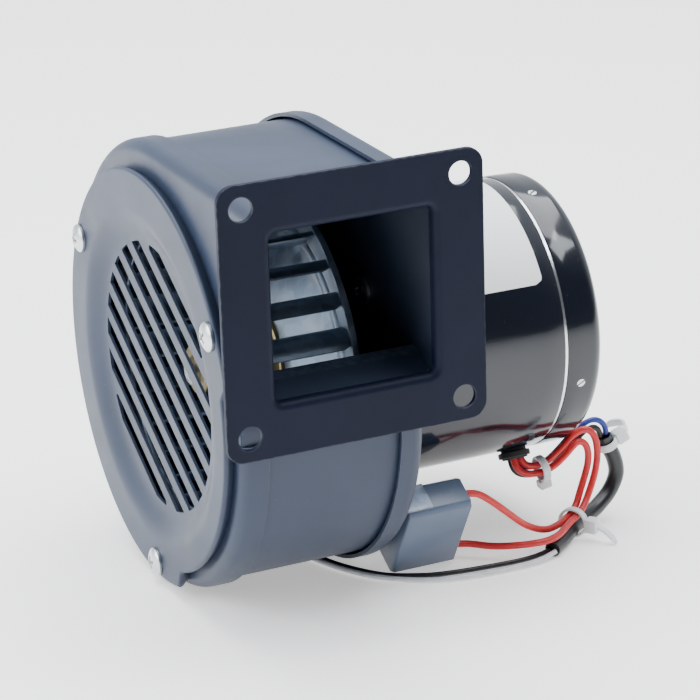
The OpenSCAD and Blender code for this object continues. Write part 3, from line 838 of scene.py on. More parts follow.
def lathe(name: str, profile: Sequence[Point], segments: int = 144) -> bpy.types.Object:
    """Turns a closed or axis-to-axis profile about the shaft.

    Args:
        name: The object's name.
        profile: Points of x and radius, in millimetres; it closes on itself.
        segments: Steps round the shaft.

    Returns:
        The turned piece.
    """
    points = [at_shaft(x, r, 360.0 * k / segments) for k in range(segments) for x, r in profile]
    return smooth(from_faces(name, points, turned_faces(len(profile), segments), 1e-6))


def arc(centre: Point, radius: float, start: float, end: float, steps: int = 8) -> list[Point]:
    """Points on an arc in a profile.

    Args:
        centre: The arc's centre.
        radius: Its radius.
        start: Its first angle, in degrees.
        end: Its last angle.
        steps: How many pieces it has.

    Returns:
        The points.
    """
    out = []
    for i in range(steps + 1):
        turn = math.radians(start + (end - start) * i / steps)
        out.append((centre[0] + radius * math.cos(turn), centre[1] + radius * math.sin(turn)))
    return out


def copy_of(node: str, name: str, rounding: float = 0.0) -> bpy.types.Object:
    """Copies a solid of the frame as a welded piece, with softened edges.

    Args:
        node: The solid's name.
        name: The new piece's name.
        rounding: The edges' rounding in millimetres, or nought.

    Returns:
        The piece.
    """
    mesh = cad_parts[node].data.copy()
    mesh.name = name
    mesh.materials.clear()
    work = bmesh.new()
    work.from_mesh(mesh)
    bmesh.ops.remove_doubles(work, verts=work.verts, dist=2e-6)
    bmesh.ops.dissolve_limit(work, angle_limit=0.004, verts=work.verts, edges=work.edges)
    work.to_mesh(mesh)
    work.free()
    for layer in [a for a in mesh.attributes if a.name == "custom_normal"]:
        mesh.attributes.remove(layer)
    piece = new_object(name, mesh)
    if rounding:
        soften(piece, rounding)
    return even(smooth(piece))


def even(piece: bpy.types.Object) -> bpy.types.Object:
    """Lets the large faces set the shading at their edges, so that flat sheet looks flat.

    Args:
        piece: The piece, already smooth.

    Returns:
        The piece.
    """
    piece.modifiers.new("even", "WEIGHTED_NORMAL").keep_sharp = True
    return baked(piece)


def joined(name: str, parts: Sequence[bpy.types.Object]) -> bpy.types.Object:
    """Joins several pieces into one mesh.

    Args:
        name: The joined piece's name.
        parts: The pieces, which are used up.

    Returns:
        The joined piece.
    """
    work = bmesh.new()
    for part in parts:
        work.from_mesh(part.data)
    mesh = bpy.data.meshes.new(name)
    work.to_mesh(mesh)
    work.free()
    for part in parts:
        bpy.data.objects.remove(part)
    return smooth(new_object(name, mesh))


class PatternTree:
    """A Geometry Nodes tree with named inputs, among them Finish, that makes repeats."""

    def __init__(self, name: str, result: str, sockets: dict[str, str]) -> None:
        """Starts the tree.

        Args:
            name: The tree's name.
            result: The name of what it makes.
            sockets: The type of each input, by its name.
        """
        self.tree = bpy.data.node_groups.new(name, "GeometryNodeTree")
        face = self.tree.interface
        for label, kind in sockets.items():
            face.new_socket(label, in_out="INPUT", socket_type="NodeSocket" + kind)
        face.new_socket(result, in_out="OUTPUT", socket_type="NodeSocketGeometry")
        self.given = self.tree.nodes.new("NodeGroupInput").outputs

    def add(self, kind: str, inputs: Optional[dict[Any, Any]] = None, output: Any = 0,
            **settings: Any) -> bpy.types.NodeSocket:
        """Adds a node.

        Args:
            inputs: What its sockets take, by name or number.
            output: The output that is wanted, by name or number.
            **settings: Its properties.

        Returns:
            That output.
        """
        return add_node(self.tree, "GeometryNode" + kind, inputs, **settings).outputs[output]

    def maths(self, operation: str, *values: Any) -> bpy.types.NodeSocket:
        """Result of a Math node."""
        node = add_node(self.tree, "ShaderNodeMath", dict(enumerate(values)), operation=operation)
        return node.outputs[0]

    def vector(self, **parts: Any) -> bpy.types.NodeSocket:
        """Vector of the given parts."""
        return add_node(self.tree, "ShaderNodeCombineXYZ", parts).outputs[0]

    def end(self, repeats: bpy.types.NodeSocket) -> None:
        """Makes the repeats real, gives them the finish and hands them out."""
        done = self.add("SetMaterial", {"Geometry": self.add("RealizeInstances", {0: repeats}),
                                        "Material": self.given["Finish"]})
        add_node(self.tree, "NodeGroupOutput", {0: done})

    def apply(self, piece: bpy.types.Object, values: dict[str, Any]) -> bpy.types.Object:
        """Runs the tree on a piece and leaves a plain mesh.

        Args:
            piece: The piece.
            values: The tree's inputs, by name.

        Returns:
            The piece.
        """
        modifier = piece.modifiers.new("repeat", "NODES")
        modifier.node_group = self.tree
        for item in self.tree.interface.items_tree:
            if item.in_out == "INPUT" and item.name in values:
                modifier[item.identifier] = values[item.name]
        return settle(piece)


class RepeatTree(PatternTree):
    """Sets one modelled piece round the shaft again and again."""

    def __init__(self) -> None:
        """Builds the tree."""
        super().__init__("set_round_the_shaft", "Ring", {
            "Piece": "Geometry", "Count": "Int", "First Angle": "Float", "Span": "Float",
            "Centre": "Vector", "Finish": "Material"})
        given = self.given
        turn = self.maths("MULTIPLY_ADD", self.add("InputIndex"), given["Span"],
                          given["First Angle"])
        points = self.add("Points", {"Count": given["Count"], "Position": given["Centre"]})
        self.end(self.add("InstanceOnPoints", {"Points": points, "Instance": given["Piece"],
                                               "Rotation": self.vector(X=turn)}))

    def run(self, piece: bpy.types.Object, finish: bpy.types.Material, count: int,
            first: float = 0.0, span: Optional[float] = None, x: float = 0.0) -> bpy.types.Object:
        """Repeats a piece that is modelled about the X axis, and leaves a plain mesh.

        Args:
            piece: The piece, modelled with the shaft through its origin.
            finish: Its material.
            count: How many there are.
            first: Angle of the first, in degrees.
            span: Angle from one to the next, or an even spread.
            x: How far along the shaft they stand, in millimetres.

        Returns:
            The piece, now the whole ring.
        """
        return self.apply(piece, {
            "Count": count,
            "First Angle": math.radians(first),
            "Span": math.radians(360.0 / count if span is None else span),
            "Centre": (x * MM, SHAFT_Y * MM, SHAFT_Z * MM),
            "Finish": finish,
        })


class SlotTree(PatternTree):
    """Sets round-ended bars side by side, each as long as a circle is wide there."""

    def __init__(self) -> None:
        """Builds the tree."""
        super().__init__("slot_punch", "Punch", {
            "Count": "Int", "Pitch": "Float", "Width": "Float", "Field": "Float",
            "Depth": "Float", "Finish": "Material"})
        given, maths = self.given, self.maths
        field = given["Field"]
        middle = maths("DIVIDE", maths("SUBTRACT", given["Count"], 1.0), 2.0)
        across = maths("MULTIPLY", maths("SUBTRACT", self.add("InputIndex"), middle),
                       given["Pitch"])
        half_chord = maths("SQRT", maths("SUBTRACT", maths("MULTIPLY", field, field),
                                         maths("MULTIPLY", across, across)))
        bar = self.add("CurvePrimitiveQuadrilateral", {
            "Width": maths("MULTIPLY", field, 2.2), "Height": given["Width"]})
        corner = self.add("FilletCurve", mode="POLY", inputs={
            "Count": 6, "Curve": bar, "Radius": maths("MULTIPLY", given["Width"], 0.49)})
        fill = self.add("FillCurve", {0: corner}, mode="NGONS")
        deep = self.add("ExtrudeMesh", {"Individual": False, "Mesh": fill,
                                        "Offset Scale": given["Depth"]}, "Mesh")
        both = self.tree.nodes.new("GeometryNodeJoinGeometry")
        for part in (self.add("FlipFaces", {0: fill}), deep):
            put(self.tree, part, both.inputs[0])
        weld = self.add("MergeByDistance", {"Distance": 1e-6, 0: both.outputs[0]})
        points = self.add("Points", {"Count": given["Count"],
                                     "Position": self.vector(Y=across)})
        self.end(self.add("InstanceOnPoints", {
            "Points": points, "Instance": weld,
            "Scale": self.vector(X=maths("DIVIDE", half_chord, field), Y=1.0, Z=1.0)}))


# ------------------------------------------------------------------ workshop


class Workshop:
    """Hands finished pieces over to the frame."""

    def __init__(self) -> None:
        """Makes the finishes and the repeating tree."""
        self.finish = Finishes().of
        self.repeat = RepeatTree()

    def hand_over(self, piece: bpy.types.Object, finish: str, body: Body, slot: str,
                  *nodes: str) -> bpy.types.Object:
        """Gives a piece its finish, its body and the solids it stands for.

        Args:
            piece: The finished piece.
            finish: Name of its finish.
            body: The body it moves with.
            slot: The record's material slot; not used.
            *nodes: The solids that it replaces.

        Returns:
            The piece.
        """
        if not piece.data.materials or piece.data.materials[0] != self.finish[finish]:
            piece.data.materials.clear()
            piece.data.materials.append(self.finish[finish])
        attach(piece, body.value)
        if nodes:
            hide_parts(*nodes)
        LOG.info("%s: %d faces, stands for %s", piece.name, len(piece.data.polygons),
                 ", ".join(nodes) or "no solid")
        return piece

    def dress(self, node: str, finish: str) -> None:
        """Gives a solid of the frame a finish.

        Args:
            node: The solid.
            finish: Name of the finish.
        """
        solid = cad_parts[node]
        if not solid.material_slots:
            solid.data.materials.append(self.finish[finish])
        for holder in solid.material_slots:
            holder.material = self.finish[finish]
        LOG.info("%s: dressed as %s", node, finish)


# ------------------------------------------------------------------ studio


@dataclass
class Studio:
    """Camera, lights and the pale floor. Lengths are in metres."""

    eye: Point = (-0.3415, -0.7486, 0.28945)
    right: Point = (0.9057, -0.4229, -0.0306)
    up: Point = (0.172, 0.3005, 0.9382)
    back: Point = (-0.3875, -0.8549, 0.3449)
    lens: float = 162.87
    floor_z: float = -0.1064
    floor_reach: float = 3.0
    aim: Point = (0.02, 0.07, -0.04)
    sky: Colour = (0.88, 0.94, 1.0)
    sky_low: float = 0.14
    sky_high: float = 1.4

    def camera(self) -> None:
        """Sets the camera up."""
        data = bpy.data.cameras.new("camera")
        data.lens = self.lens
        data.sensor_width = 36.0
        data.clip_start = 0.01
        data.clip_end = 50.0
        camera = new_object("camera", data)
        axes = Matrix((self.right, self.up, self.back)).transposed().to_4x4()
        camera.matrix_world = Matrix.Translation(Vector(self.eye)) @ axes
        bpy.context.scene.camera = camera

    def panel(self, name: str, place: Point, size: Point, power: float,
              colour: Colour) -> None:
        """Hangs one soft light.

        Args:
            name: The light's name.
            place: Its middle.
            size: Its width and height.
            power: Its power in watts.
            colour: Its colour.
        """
        data = bpy.data.lights.new(name, "AREA")
        data.shape = "RECTANGLE"
        data.size, data.size_y = size
        data.energy = power
        data.color = colour
        light = new_object(name, data)
        turn = (Vector(self.aim) - Vector(place)).to_track_quat("-Z", "Y")
        light.matrix_world = Matrix.Translation(Vector(place)) @ turn.to_matrix().to_4x4()

    def lights(self) -> None:
        """Hangs the lights and makes the pale surroundings."""
        world = bpy.data.worlds.new("studio")
        bpy.context.scene.world = world
        world.use_nodes = True
        tree = world.node_tree
        tree.nodes.clear()
        coord = add_node(tree, "ShaderNodeTexCoord")
        parts = add_node(tree, "ShaderNodeSeparateXYZ", {0: coord.outputs["Generated"]})
        rise = add_node(tree, "ShaderNodeMapRange", {
            "Value": parts.outputs["Y"], "From Min": -0.75, "From Max": 0.15,
            "To Min": self.sky_low, "To Max": self.sky_high}, interpolation_type="SMOOTHSTEP")
        sky = add_node(tree, "ShaderNodeBackground", {
            "Color": self.sky, "Strength": rise.outputs["Result"]})
        add_node(tree, "ShaderNodeOutputWorld", {0: sky.outputs[0]})
        for name, place, size, power, colour in (
                ("left_window", (-1.05, 0.15, 0.62), (1.1, 1.0), 19.0, (0.9, 0.95, 1.0)),
                ("overhead", (0.1, 0.35, 1.2), (1.4, 1.2), 34.0, (0.93, 0.96, 1.0)),
                ("lip_light", (0.5, -0.4, 1.05), (0.5, 0.35), 5.0, (0.9, 0.95, 1.0))):
            self.panel(name, place, size, power, colour)

    def floor(self) -> bpy.types.Object:
        """Lays the floor.

        Returns:
            The floor.
        """
        steps, reach = 12, self.floor_reach
        points = [((-1 + 2 * i / steps) * reach, (-1 + 2 * j / steps) * reach, self.floor_z)
                  for i in range(steps + 1) for j in range(steps + 1)]
        faces = [(i * (steps + 1) + j, (i + 1) * (steps + 1) + j, (i + 1) * (steps + 1) + j + 1,
                  i * (steps + 1) + j + 1) for i in range(steps) for j in range(steps)]
        return from_faces("studio_floor", points, faces)

    def build(self, shop: Workshop) -> None:
        """Sets the studio up.

        Args:
            shop: The workshop with the floor's finish.
        """
        self.camera()
        self.lights()
        floor = self.floor()
        floor.data.materials.append(shop.finish["studio_paper"])
        LOG.info("studio: camera, three soft lights and a pale floor")


# ------------------------------------------------------------------ leads


def through(points: Sequence[Point], step: float) -> list[Vector]:
    """Runs one smooth curve through a route's points.

    Args:
        points: The route, in millimetres.
        step: Length of one piece of the curve, in millimetres.

    Returns:
        Points on the curve, in metres.
    """
    route = [Vector(p) for p in points]
    ends = [route[0] * 2 - route[1], *route, route[-1] * 2 - route[-2]]
    out = []
    for p0, p1, p2, p3 in zip(ends, ends[1:], ends[2:], ends[3:]):
        knots = [0.0]
        for a, b in ((p0, p1), (p1, p2), (p2, p3)):
            knots.append(knots[-1] + max(1e-6, (b - a).length) ** 0.5)
        t0, t1, t2, t3 = knots
        count = max(1, round((p2 - p1).length / step))
        for i in range(count):
            t = t1 + (t2 - t1) * i / count
            a1 = p0 * ((t1 - t) / (t1 - t0)) + p1 * ((t - t0) / (t1 - t0))
            a2 = p1 * ((t2 - t) / (t2 - t1)) + p2 * ((t - t1) / (t2 - t1))
            a3 = p2 * ((t3 - t) / (t3 - t2)) + p3 * ((t - t2) / (t3 - t2))
            b1 = a1 * ((t2 - t) / (t2 - t0)) + a2 * ((t - t0) / (t2 - t0))
            b2 = a2 * ((t3 - t) / (t3 - t1)) + a3 * ((t - t1) / (t3 - t1))
            out.append(b1 * ((t2 - t) / (t2 - t1)) + b2 * ((t - t1) / (t2 - t1)))
    out.append(route[-1])
    return [p * MM for p in out]


def relaxed(path: list[Vector], passes: int) -> list[Vector]:
    """Eases a path's bends, with its ends left where they are.

    Args:
        path: The path.
        passes: How often each point moves towards its neighbours' middle.

    Returns:
        The eased path.
    """
    for _ in range(passes):
        path = [path[0], *((a + b * 2 + c) / 4 for a, b, c in zip(path, path[1:], path[2:])),
                path[-1]]
    return path


def length_of(path: Sequence[Vector]) -> float:
    """Length of a path."""
    return sum((b - a).length for a, b in zip(path, path[1:]))


def hose(name: str, path: Sequence[Vector], radii: Sequence[float], sides: int = 16,
         mouth: float = 0.0) -> bpy.types.Object:
    """Makes a closed round tube along a path, with a UV map round and along it.

    Args:
        name: The object's name.
        path: The middle line, in metres.
        radii: The radius at each point, in metres.
        sides: Faces round it.
        mouth: Inner radius of its two open ends, in metres, or nought.

    Returns:
        The tube.
    """
    heads = [(path[min(i + 1, len(path) - 1)] - path[max(i - 1, 0)]).normalized()
             for i in range(len(path))]
    stations = list(zip(path, heads, radii))
    if mouth:
        first, last = stations[0], stations[-1]
        deep = 2.5 * MM
        stations = [(first[0] + first[1] * deep, first[1], mouth), (first[0], first[1], mouth),
                    *stations, (last[0], last[1], mouth),
                    (last[0] - last[1] * deep, last[1], mouth)]
    side = heads[0].orthogonal().normalized()
    points, rows = [], []
    travelled = 0.0
    for i, (place, head, radius) in enumerate(stations):
        side = (side - head * side.dot(head)).normalized()
        over = head.cross(side)
        if i:
            travelled += (place - stations[i - 1][0]).length
        rows.append(travelled)
        for k in range(sides):
            turn = FULL_TURN * k / sides
            points.append(place + (side * math.cos(turn) + over * math.sin(turn)) * radius)
    mesh = bpy.data.meshes.new(name)
    mesh.from_pydata([tuple(p) for p in points], [], stacked_faces(sides, len(stations)))
    layer = mesh.uv_layers.new(name="UVMap")
    for face in mesh.polygons:
        places = [v % sides for v in face.vertices]
        wraps = len(places) == 4 and 0 in places and sides - 1 in places
        for loop in face.loop_indices:
            vertex = mesh.loops[loop].vertex_index
            around = 1.0 if wraps and vertex % sides == 0 else (vertex % sides) / sides
            layer.data[loop].uv = (around, rows[vertex // sides])
    return smooth(new_object(name, mesh), 50.0)


@dataclass
class Leads:
    """The leads under the motor, their sleeve and the coil behind. Millimetres."""

    motor_r: float = 42.5
    grommet_x: float = 78.5
    grommet_a: float = -116.0
    red_d: float = 2.2
    motor_d: float = 1.8
    supply_d: float = 1.6
    sleeve_d: float = 5.0
    motor_shift: float = 2.5
    coil_at: Point = (4.0, 119.0)
    coil_outer: float = 9.8
    coil_inner: float = 8.2
    coil_sweep: float = 680.0
    supply_step: float = 0.7
    bare_l: float = 5.5

    def by_motor(self, run: Sequence[Point], shift: float = 0.0) -> list[Point]:
        """Places points that are given from the grommet and the motor's skin.

        Args:
            run: Along from the grommet, out from the skin, and across.
            shift: How much further across they lie.

        Returns:
            The points.
        """
        turn = math.radians(self.grommet_a)
        out, across = (math.cos(turn), math.sin(turn)), (-math.sin(turn), math.cos(turn))
        return [(self.grommet_x + x,
                 SHAFT_Y + (self.motor_r + o) * out[0] + (s + shift) * across[0],
                 SHAFT_Z + (self.motor_r + o) * out[1] + (s + shift) * across[1])
                for x, o, s in run]

    def routes(self) -> dict[str, list[Point]]:
        """The routes of the leads, as the frame has them up to the coil.

        Returns:
            Each lead's points.
        """
        low = [(1.3, 3.05, -1.3), (1.3, 4.6, -1.3), (1.8, 5.5, -1.3), (3.9, 6.3, -1.5),
               (7.3, 6.4, -2.1), (10.9, 5, -3.1), (15, 2.3, -4.2), (19, -0.6, -5)]
        high = [(-1.1, 3.05, -1.3), (-1.1, 5.4, -1.3), (0.2, 7.5, -1.3), (3.5, 8.7, -1.5),
                (7.7, 8.8, -2.1), (12.1, 7.2, -3.1), (16.4, 4.3, -4.2), (20.4, 1.4, -5)]
        return {
            "red_lead_lower": self.by_motor(low) + [
                (101.6, 53.4, -74.5), (103.9, 52.8, -76.6), (104.7, 52.1, -80.6),
                (104.5, 51.7, -84.6), (103.2, 51, -89.2), (101, 50, -93.5), (98, 47.9, -97),
                (95.1, 45.9, -98.8), (93.2, 44.5, -99.1), (88.9, 41.2, -99.1),
                (85.2, 38, -99.4), (81.4, 35.2, -99.7), (77, 34, -100), (70.4, 36, -100.6),
                (62.4, 42.2, -101.8), (56.6, 47, -101.5), (50.5, 48.1, -100.9)],
            "red_lead_upper": self.by_motor(high) + [
                (101.2, 53, -79.5), (102, 52.8, -82.4), (101.7, 52.6, -86),
                (100.2, 52.2, -90), (98, 51, -93.9), (95.9, 49.5, -97.2), (93.6, 47.8, -98.8),
                (91.8, 46.5, -99.1), (88, 43.6, -99.1), (85, 41.6, -99.2), (80, 40, -99.2),
                (73, 39, -96), (66, 37.4, -90), (60, 37.2, -84.6), (55, 37.6, -81),
                (50.5, 37.8, -80.5)],
            "motor_lead_black": self.by_motor(high, self.motor_shift) + [
                (103, 56.6, -76.6), (106, 56.4, -75.9), (107.7, 56.3, -77.2),
                (108.2, 56.2, -79.7)],
            "motor_lead_blue": self.by_motor(low, self.motor_shift) + [
                (102.2, 56.6, -74.4), (105.7, 56.5, -73.4), (108.6, 56.4, -74.6),
                (110, 56.3, -76.8), (110.1, 56.2, -79)],
            "lead_sleeve": [
                (109.4, 56.2, -79.6), (110.6, 56, -82.8), (112.6, 55.6, -87.4),
                (113.2, 55.2, -92.4), (110.6, 54.6, -97.4), (104.8, 52.4, -101),
                (98.4, 49.3, -102.5), (92.5, 45.5, -102.6), (86.6, 40.6, -103.5),
                (79.6, 35.2, -103.8)],
            "supply_lead_black": [
                (78.7, 35.9, -104.2), (74, 35.4, -104.9), (67, 35.6, -105.3),
                (58, 36.2, -105.3), (49, 37.2, -105.3), (41, 38.8, -105.3),
                (34.5, 41.6, -105.3), (28.5, 45.4, -105.3), (23, 52.2, -105.3),
                (18.2, 61, -105.3), (15, 71, -105.3), (13, 83, -105.3), (12.6, 96, -105.3),
                (13.4, 106, -105.3), (13.8, 113.4, -105.3)],
            "supply_lead_white": [
                (80, 34.1, -104.2), (74, 32.2, -104.9), (66, 31.8, -105.3), (56, 32, -105.3),
                (47, 33.2, -105.3), (38, 36, -105.3), (30.5, 40.8, -105.3),
                (23.4, 47.8, -105.3), (18, 57, -105.3), (14, 67, -105.3), (11.2, 78, -105.3),
                (9.9, 90, -105.1), (9.9, 98, -104.5), (10.1, 105, -103.9)],
        }

    def turns(self, start: float, height: float) -> list[Point]:
        """Points of a lead's two turns in the coil, the second inside the first.

        Args:
            start: Angle at which they begin, in degrees.
            height: Height of the lead's middle.

        Returns:
            The points.
        """
        out = []
        steps = 36
        for i in range(steps + 1):
            share = i / steps
            turn = math.radians(start + self.coil_sweep * share)
            inward = eased((share - 0.4) / 0.1)
            radius = self.coil_outer + (self.coil_inner - self.coil_outer) * inward
            out.append((self.coil_at[0] + radius * math.cos(turn),
                        self.coil_at[1] + radius * math.sin(turn), height))
        return out

    def cord(self, shop: Workshop, name: str, path: list[Vector], diameter: float, finish: str,
             slot: str, nodes: Sequence[str],
             mouth: float = 0.0, extras: Sequence[bpy.types.Object] = ()) -> bpy.types.Object:
        """Makes one lead and hands it over.

        Args:
            shop: The workshop.
            name: The piece's name.
            path: Its middle line, in metres.
            diameter: Its diameter in millimetres.
            finish: Its finish.
            slot: The record's material slot.
            nodes: The solids that it replaces.
            mouth: Inner radius of an open end, in millimetres, or nought.
            extras: Pieces on it.

        Returns:
            The lead.
        """
        piece = hose(name, path, [diameter / 2 * MM] * len(path), mouth=mouth * MM)
        shop.hand_over(piece, finish, Body.HOUSING, slot, *nodes)
        tuple(path[0])
        length_of(path)
        [tuple(p) for p in path]
        list(extras)
        return piece

    def strands(self, shop: Workshop, name: str, path: list[Vector]) -> bpy.types.Object:
        """Twists the bare strands at the end of a supply lead.

        Args:
            shop: The workshop.
            name: The piece's name.
            path: The strands' middle line, in metres.

        Returns:
            The strands.
        """
        radii = [0.42 * MM] * (len(path) - 1) + [0.26 * MM]
        piece = hose(name, path, radii, 12)
        return shop.hand_over(piece, "lead_strands", Body.HOUSING, "copper_wire")

    def build(self, shop: Workshop, ties: Sequence[bpy.types.Object]) -> None:
        """Makes every lead.

        Args:
            shop: The workshop.
            ties: The ties on the sleeve.
        """
        routes = self.routes()
        for name, finish, diameter, step, passes in (
                ("red_lead_upper", "red_insulation", self.red_d, 0.8, 9),
                ("red_lead_lower", "red_insulation", self.red_d, 0.8, 9),
                ("motor_lead_black", "black_insulation", self.motor_d, 0.6, 8),
                ("motor_lead_blue", "blue_insulation", self.motor_d, 0.6, 8)):
            path = relaxed(through(routes[name], step), passes)
            self.cord(shop, name + "_cord", path, diameter, finish, finish, [name])
        self.cord(shop, "sleeve_tube", through(routes["lead_sleeve"], 0.8), self.sleeve_d,
                  "black_sleeve", "black_insulation", ["lead_sleeve"], mouth=2.1,
                  extras=ties)
        for name, finish, start, height, extra in (
                ("supply_lead_black", "black_insulation", -24.0, -105.5, ["lead_coil"]),
                ("supply_lead_white", "white_insulation", -40.0, -103.9, [])):
            whole = through(routes[name] + self.turns(start, height), self.supply_step)
            bare = round(self.bare_l / self.supply_step)
            tip = self.strands(shop, name + "_strands", whole[-bare:])
            self.cord(shop, name + "_cord", whole[:-bare + 1], self.supply_d, finish, finish,
                      [name, *extra], extras=[tip])


@dataclass
class CableTie:
    """One nylon cable tie: toothed strap, lock and cut tail. Millimetres and degrees."""

    name: str
    node: str
    centre: Point
    turn: Point
    inner_r: float
    lock: float
    lock_at: float
    tail: float = 0.0
    tail_bend: float = 0.0
    width: float = 2.4
    strap: float = 0.8

    def ring(self) -> tuple[list[Vector], list[Face]]:
        """The strap round the leads, with its teeth.

        Returns:
            Points and faces in the tie's own frame.
        """
        steps, half = 96, self.width / 2
        points = []
        for k in range(steps):
            turn = FULL_TURN * k / steps
            tooth = 0.12 if k % 2 else 0.0
            inner, outer = self.inner_r, self.inner_r + self.strap
            section = [(inner, -half + 0.25), (inner + 0.12, -half), (outer - 0.2, -half),
                       (outer, -half + 0.25), (outer, -half + 0.5), (outer - tooth, -half + 0.55),
                       (outer - tooth, half - 0.55), (outer, half - 0.5), (outer, half - 0.25),
                       (outer - 0.2, half), (inner + 0.12, half), (inner, half - 0.25)]
            points += [Vector((r * math.cos(turn), r * math.sin(turn), z)) for r, z in section]
        return points, turned_faces(len(points) // steps, steps)

    def strip(self, middle: Sequence[Vector], widths: Sequence[float],
              thick: float) -> tuple[list[Vector], list[Face]]:
        """A flat strap along a line in the tie's plane.

        Args:
            middle: The line.
            widths: The strap's width at each point.
            thick: Its thickness.

        Returns:
            Points and faces.
        """
        points = []
        for i, (place, width) in enumerate(zip(middle, widths)):
            head = (middle[min(i + 1, len(middle) - 1)] - middle[max(i - 1, 0)]).normalized()
            over = Vector((-head.y, head.x, 0))
            tooth = 0.14 if i % 2 else 0.0
            for side, height in CORNERS:
                lift = thick / 2 - (tooth if height > 0 else 0)
                points.append(place + over * height * lift + Vector((0, 0, side * width / 2)))
        return points, stacked_faces(4, len(middle))

    def build(self, shop: Workshop) -> bpy.types.Object:
        """Makes the tie.

        Args:
            shop: The workshop.

        Returns:
            The tie.
        """
        frame_of_tie = Matrix.Translation(Vector(self.centre))
        for angle, axis in zip(reversed(self.turn), "ZYX"):
            frame_of_tie = frame_of_tie @ Matrix.Rotation(math.radians(angle), 4, axis)
        pieces = [self.ring()]
        turn = math.radians(self.lock_at)
        out, side = Vector((math.cos(turn), math.sin(turn), 0)), Vector(
            (-math.sin(turn), math.cos(turn), 0))
        near, half = self.inner_r + self.strap * 0.4, self.lock / 2
        block = []
        for reach, shrink in ((0.0, 0.5), (0.35, 0.0), (self.lock - 0.4, 0.0), (self.lock, 0.4)):
            for u, v in CORNERS:
                block.append(out * (near + reach) + side * u * (half - shrink) + Vector(
                    (0, 0, v * (self.width / 2 + 0.7 - shrink))))
        pieces.append((block, stacked_faces(4, 4)))
        if self.tail:
            steps = 26
            middle, place, heading = [], out * (near + self.lock * 0.5), turn
            for i in range(steps):
                middle.append(place.copy())
                heading += math.radians(self.tail_bend) / steps
                place = place + Vector((math.cos(heading), math.sin(heading), 0)) * (
                    (self.tail + self.lock * 0.5) / steps)
            widths = [self.width * (1.0 if i < steps - 5 else 1.0 - 0.11 * (i - steps + 6))
                      for i in range(steps)]
            pieces.append(self.strip(middle, widths, self.strap))
        parts = [from_faces(self.name, [(frame_of_tie @ p) * MM for p in points], faces, 1e-8)
                 for points, faces in pieces]
        tie = joined(self.name, parts)
        soften(tie, 0.12, 1, 50.0)
        return shop.hand_over(smooth(tie, 40.0), "tie_nylon", Body.HOUSING, "nylon_white",
                              self.node)


# ------------------------------------------------------------------ fasteners


@dataclass
class PanScrew:
    """A pan-head screw with a cross recess. Millimetres."""

    head_d: float = 8.6
    head_h: float = 2.4
    shank_d: float = 4.0
    recess: float = 5.0
    recess_w: float = 1.15
    recess_deep: float = 1.5
    recess_turn: float = 20.0
    thread: float = 0.7
    sides: int = 40

    def model(self, name: str, length: float, radial: float, x: float = 0.0,
              outward: float = -1.0) -> bpy.types.Object:
        """Models one screw along X, at a distance from the X axis.

        Args:
            name: The piece's name.
            length: Length of the shank.
            radial: Distance of its middle from the shaft.
            x: Place of its seat along the shaft.
            outward: Which way the head points along X.

        Returns:
            The screw.
        """
        head_r, rim, crown = self.head_d / 2, self.head_h * 0.42, self.head_h
        dome = (head_r ** 2 + (crown - rim) ** 2) / (2 * (crown - rim))
        profile = [(0.0, -length), (self.shank_d / 2 - 0.4, -length)]
        turns = int(length / self.thread)
        for i in range(turns):
            base = -length + 0.35 + i * (length - 0.5) / turns
            profile += [(self.shank_d / 2, base), (self.shank_d / 2 - 0.28, base + 0.35)]
        profile += [(self.shank_d / 2, -0.1), (self.shank_d / 2, 0.0), (head_r - 0.15, 0.0)]
        profile += [(head_r, 0.15), (head_r, rim - 0.12), (head_r - 0.12, rim + 0.06)]
        for i in range(1, 9):
            r = (head_r - 0.2) * (1 - i / 8)
            profile.append((r, crown - dome + math.sqrt(dome ** 2 - r ** 2)))
        points = []
        for k in range(self.sides):
            turn = FULL_TURN * k / self.sides
            points += [Vector((z, r * math.cos(turn), r * math.sin(turn))) * MM
                       for r, z in profile]
        screw = from_faces(name, points, turned_faces(len(profile), self.sides, False), 2e-6)
        self._cut_recess(screw, crown)
        place = Matrix.Translation(Vector((x, radial, 0)) * MM) @ Matrix.Diagonal(
            (outward, 1, outward, 1))
        screw.data.transform(place)
        return screw

    def _cut_recess(self, screw: bpy.types.Object, crown: float) -> None:
        """Cuts the tapered cross into the head.

        Args:
            screw: The screw.
            crown: Height of the head's top.
        """
        points, faces = [], []
        wide, tip, half = self.recess / 2, self.recess * 0.2, self.recess_w / 2
        low = crown - self.recess_deep
        for turn in (0, 90):
            base = len(points)
            spin = Matrix.Rotation(math.radians(turn + self.recess_turn), 3, "X")
            for z, reach, width in ((crown + 1, wide * 1.15, half * 1.1), (low, tip, half * 0.6)):
                for u, v in CORNERS:
                    p = Vector((z, u * reach, v * width))
                    points.append(spin @ p * MM)
            faces += [tuple(base + i for i in row) for row in stacked_faces(4, 2)]
        cut(screw, from_faces("recess_cutter", points, faces, 1e-9))


def cut(piece: bpy.types.Object, cutter: bpy.types.Object,
        operation: str = "DIFFERENCE") -> bpy.types.Object:
    """Cuts one closed mesh out of another, or keeps what they share.

    Args:
        piece: The piece.
        cutter: The other mesh, which is used up.
        operation: The boolean's name.

    Returns:
        The piece.
    """
    tool = piece.modifiers.new("cut", "BOOLEAN")
    tool.operation = operation
    tool.solver = "EXACT"
    tool.use_self = True
    tool.object = cutter
    settle(piece)
    bpy.data.objects.remove(cutter)
    return piece


# ------------------------------------------------------------------ casing


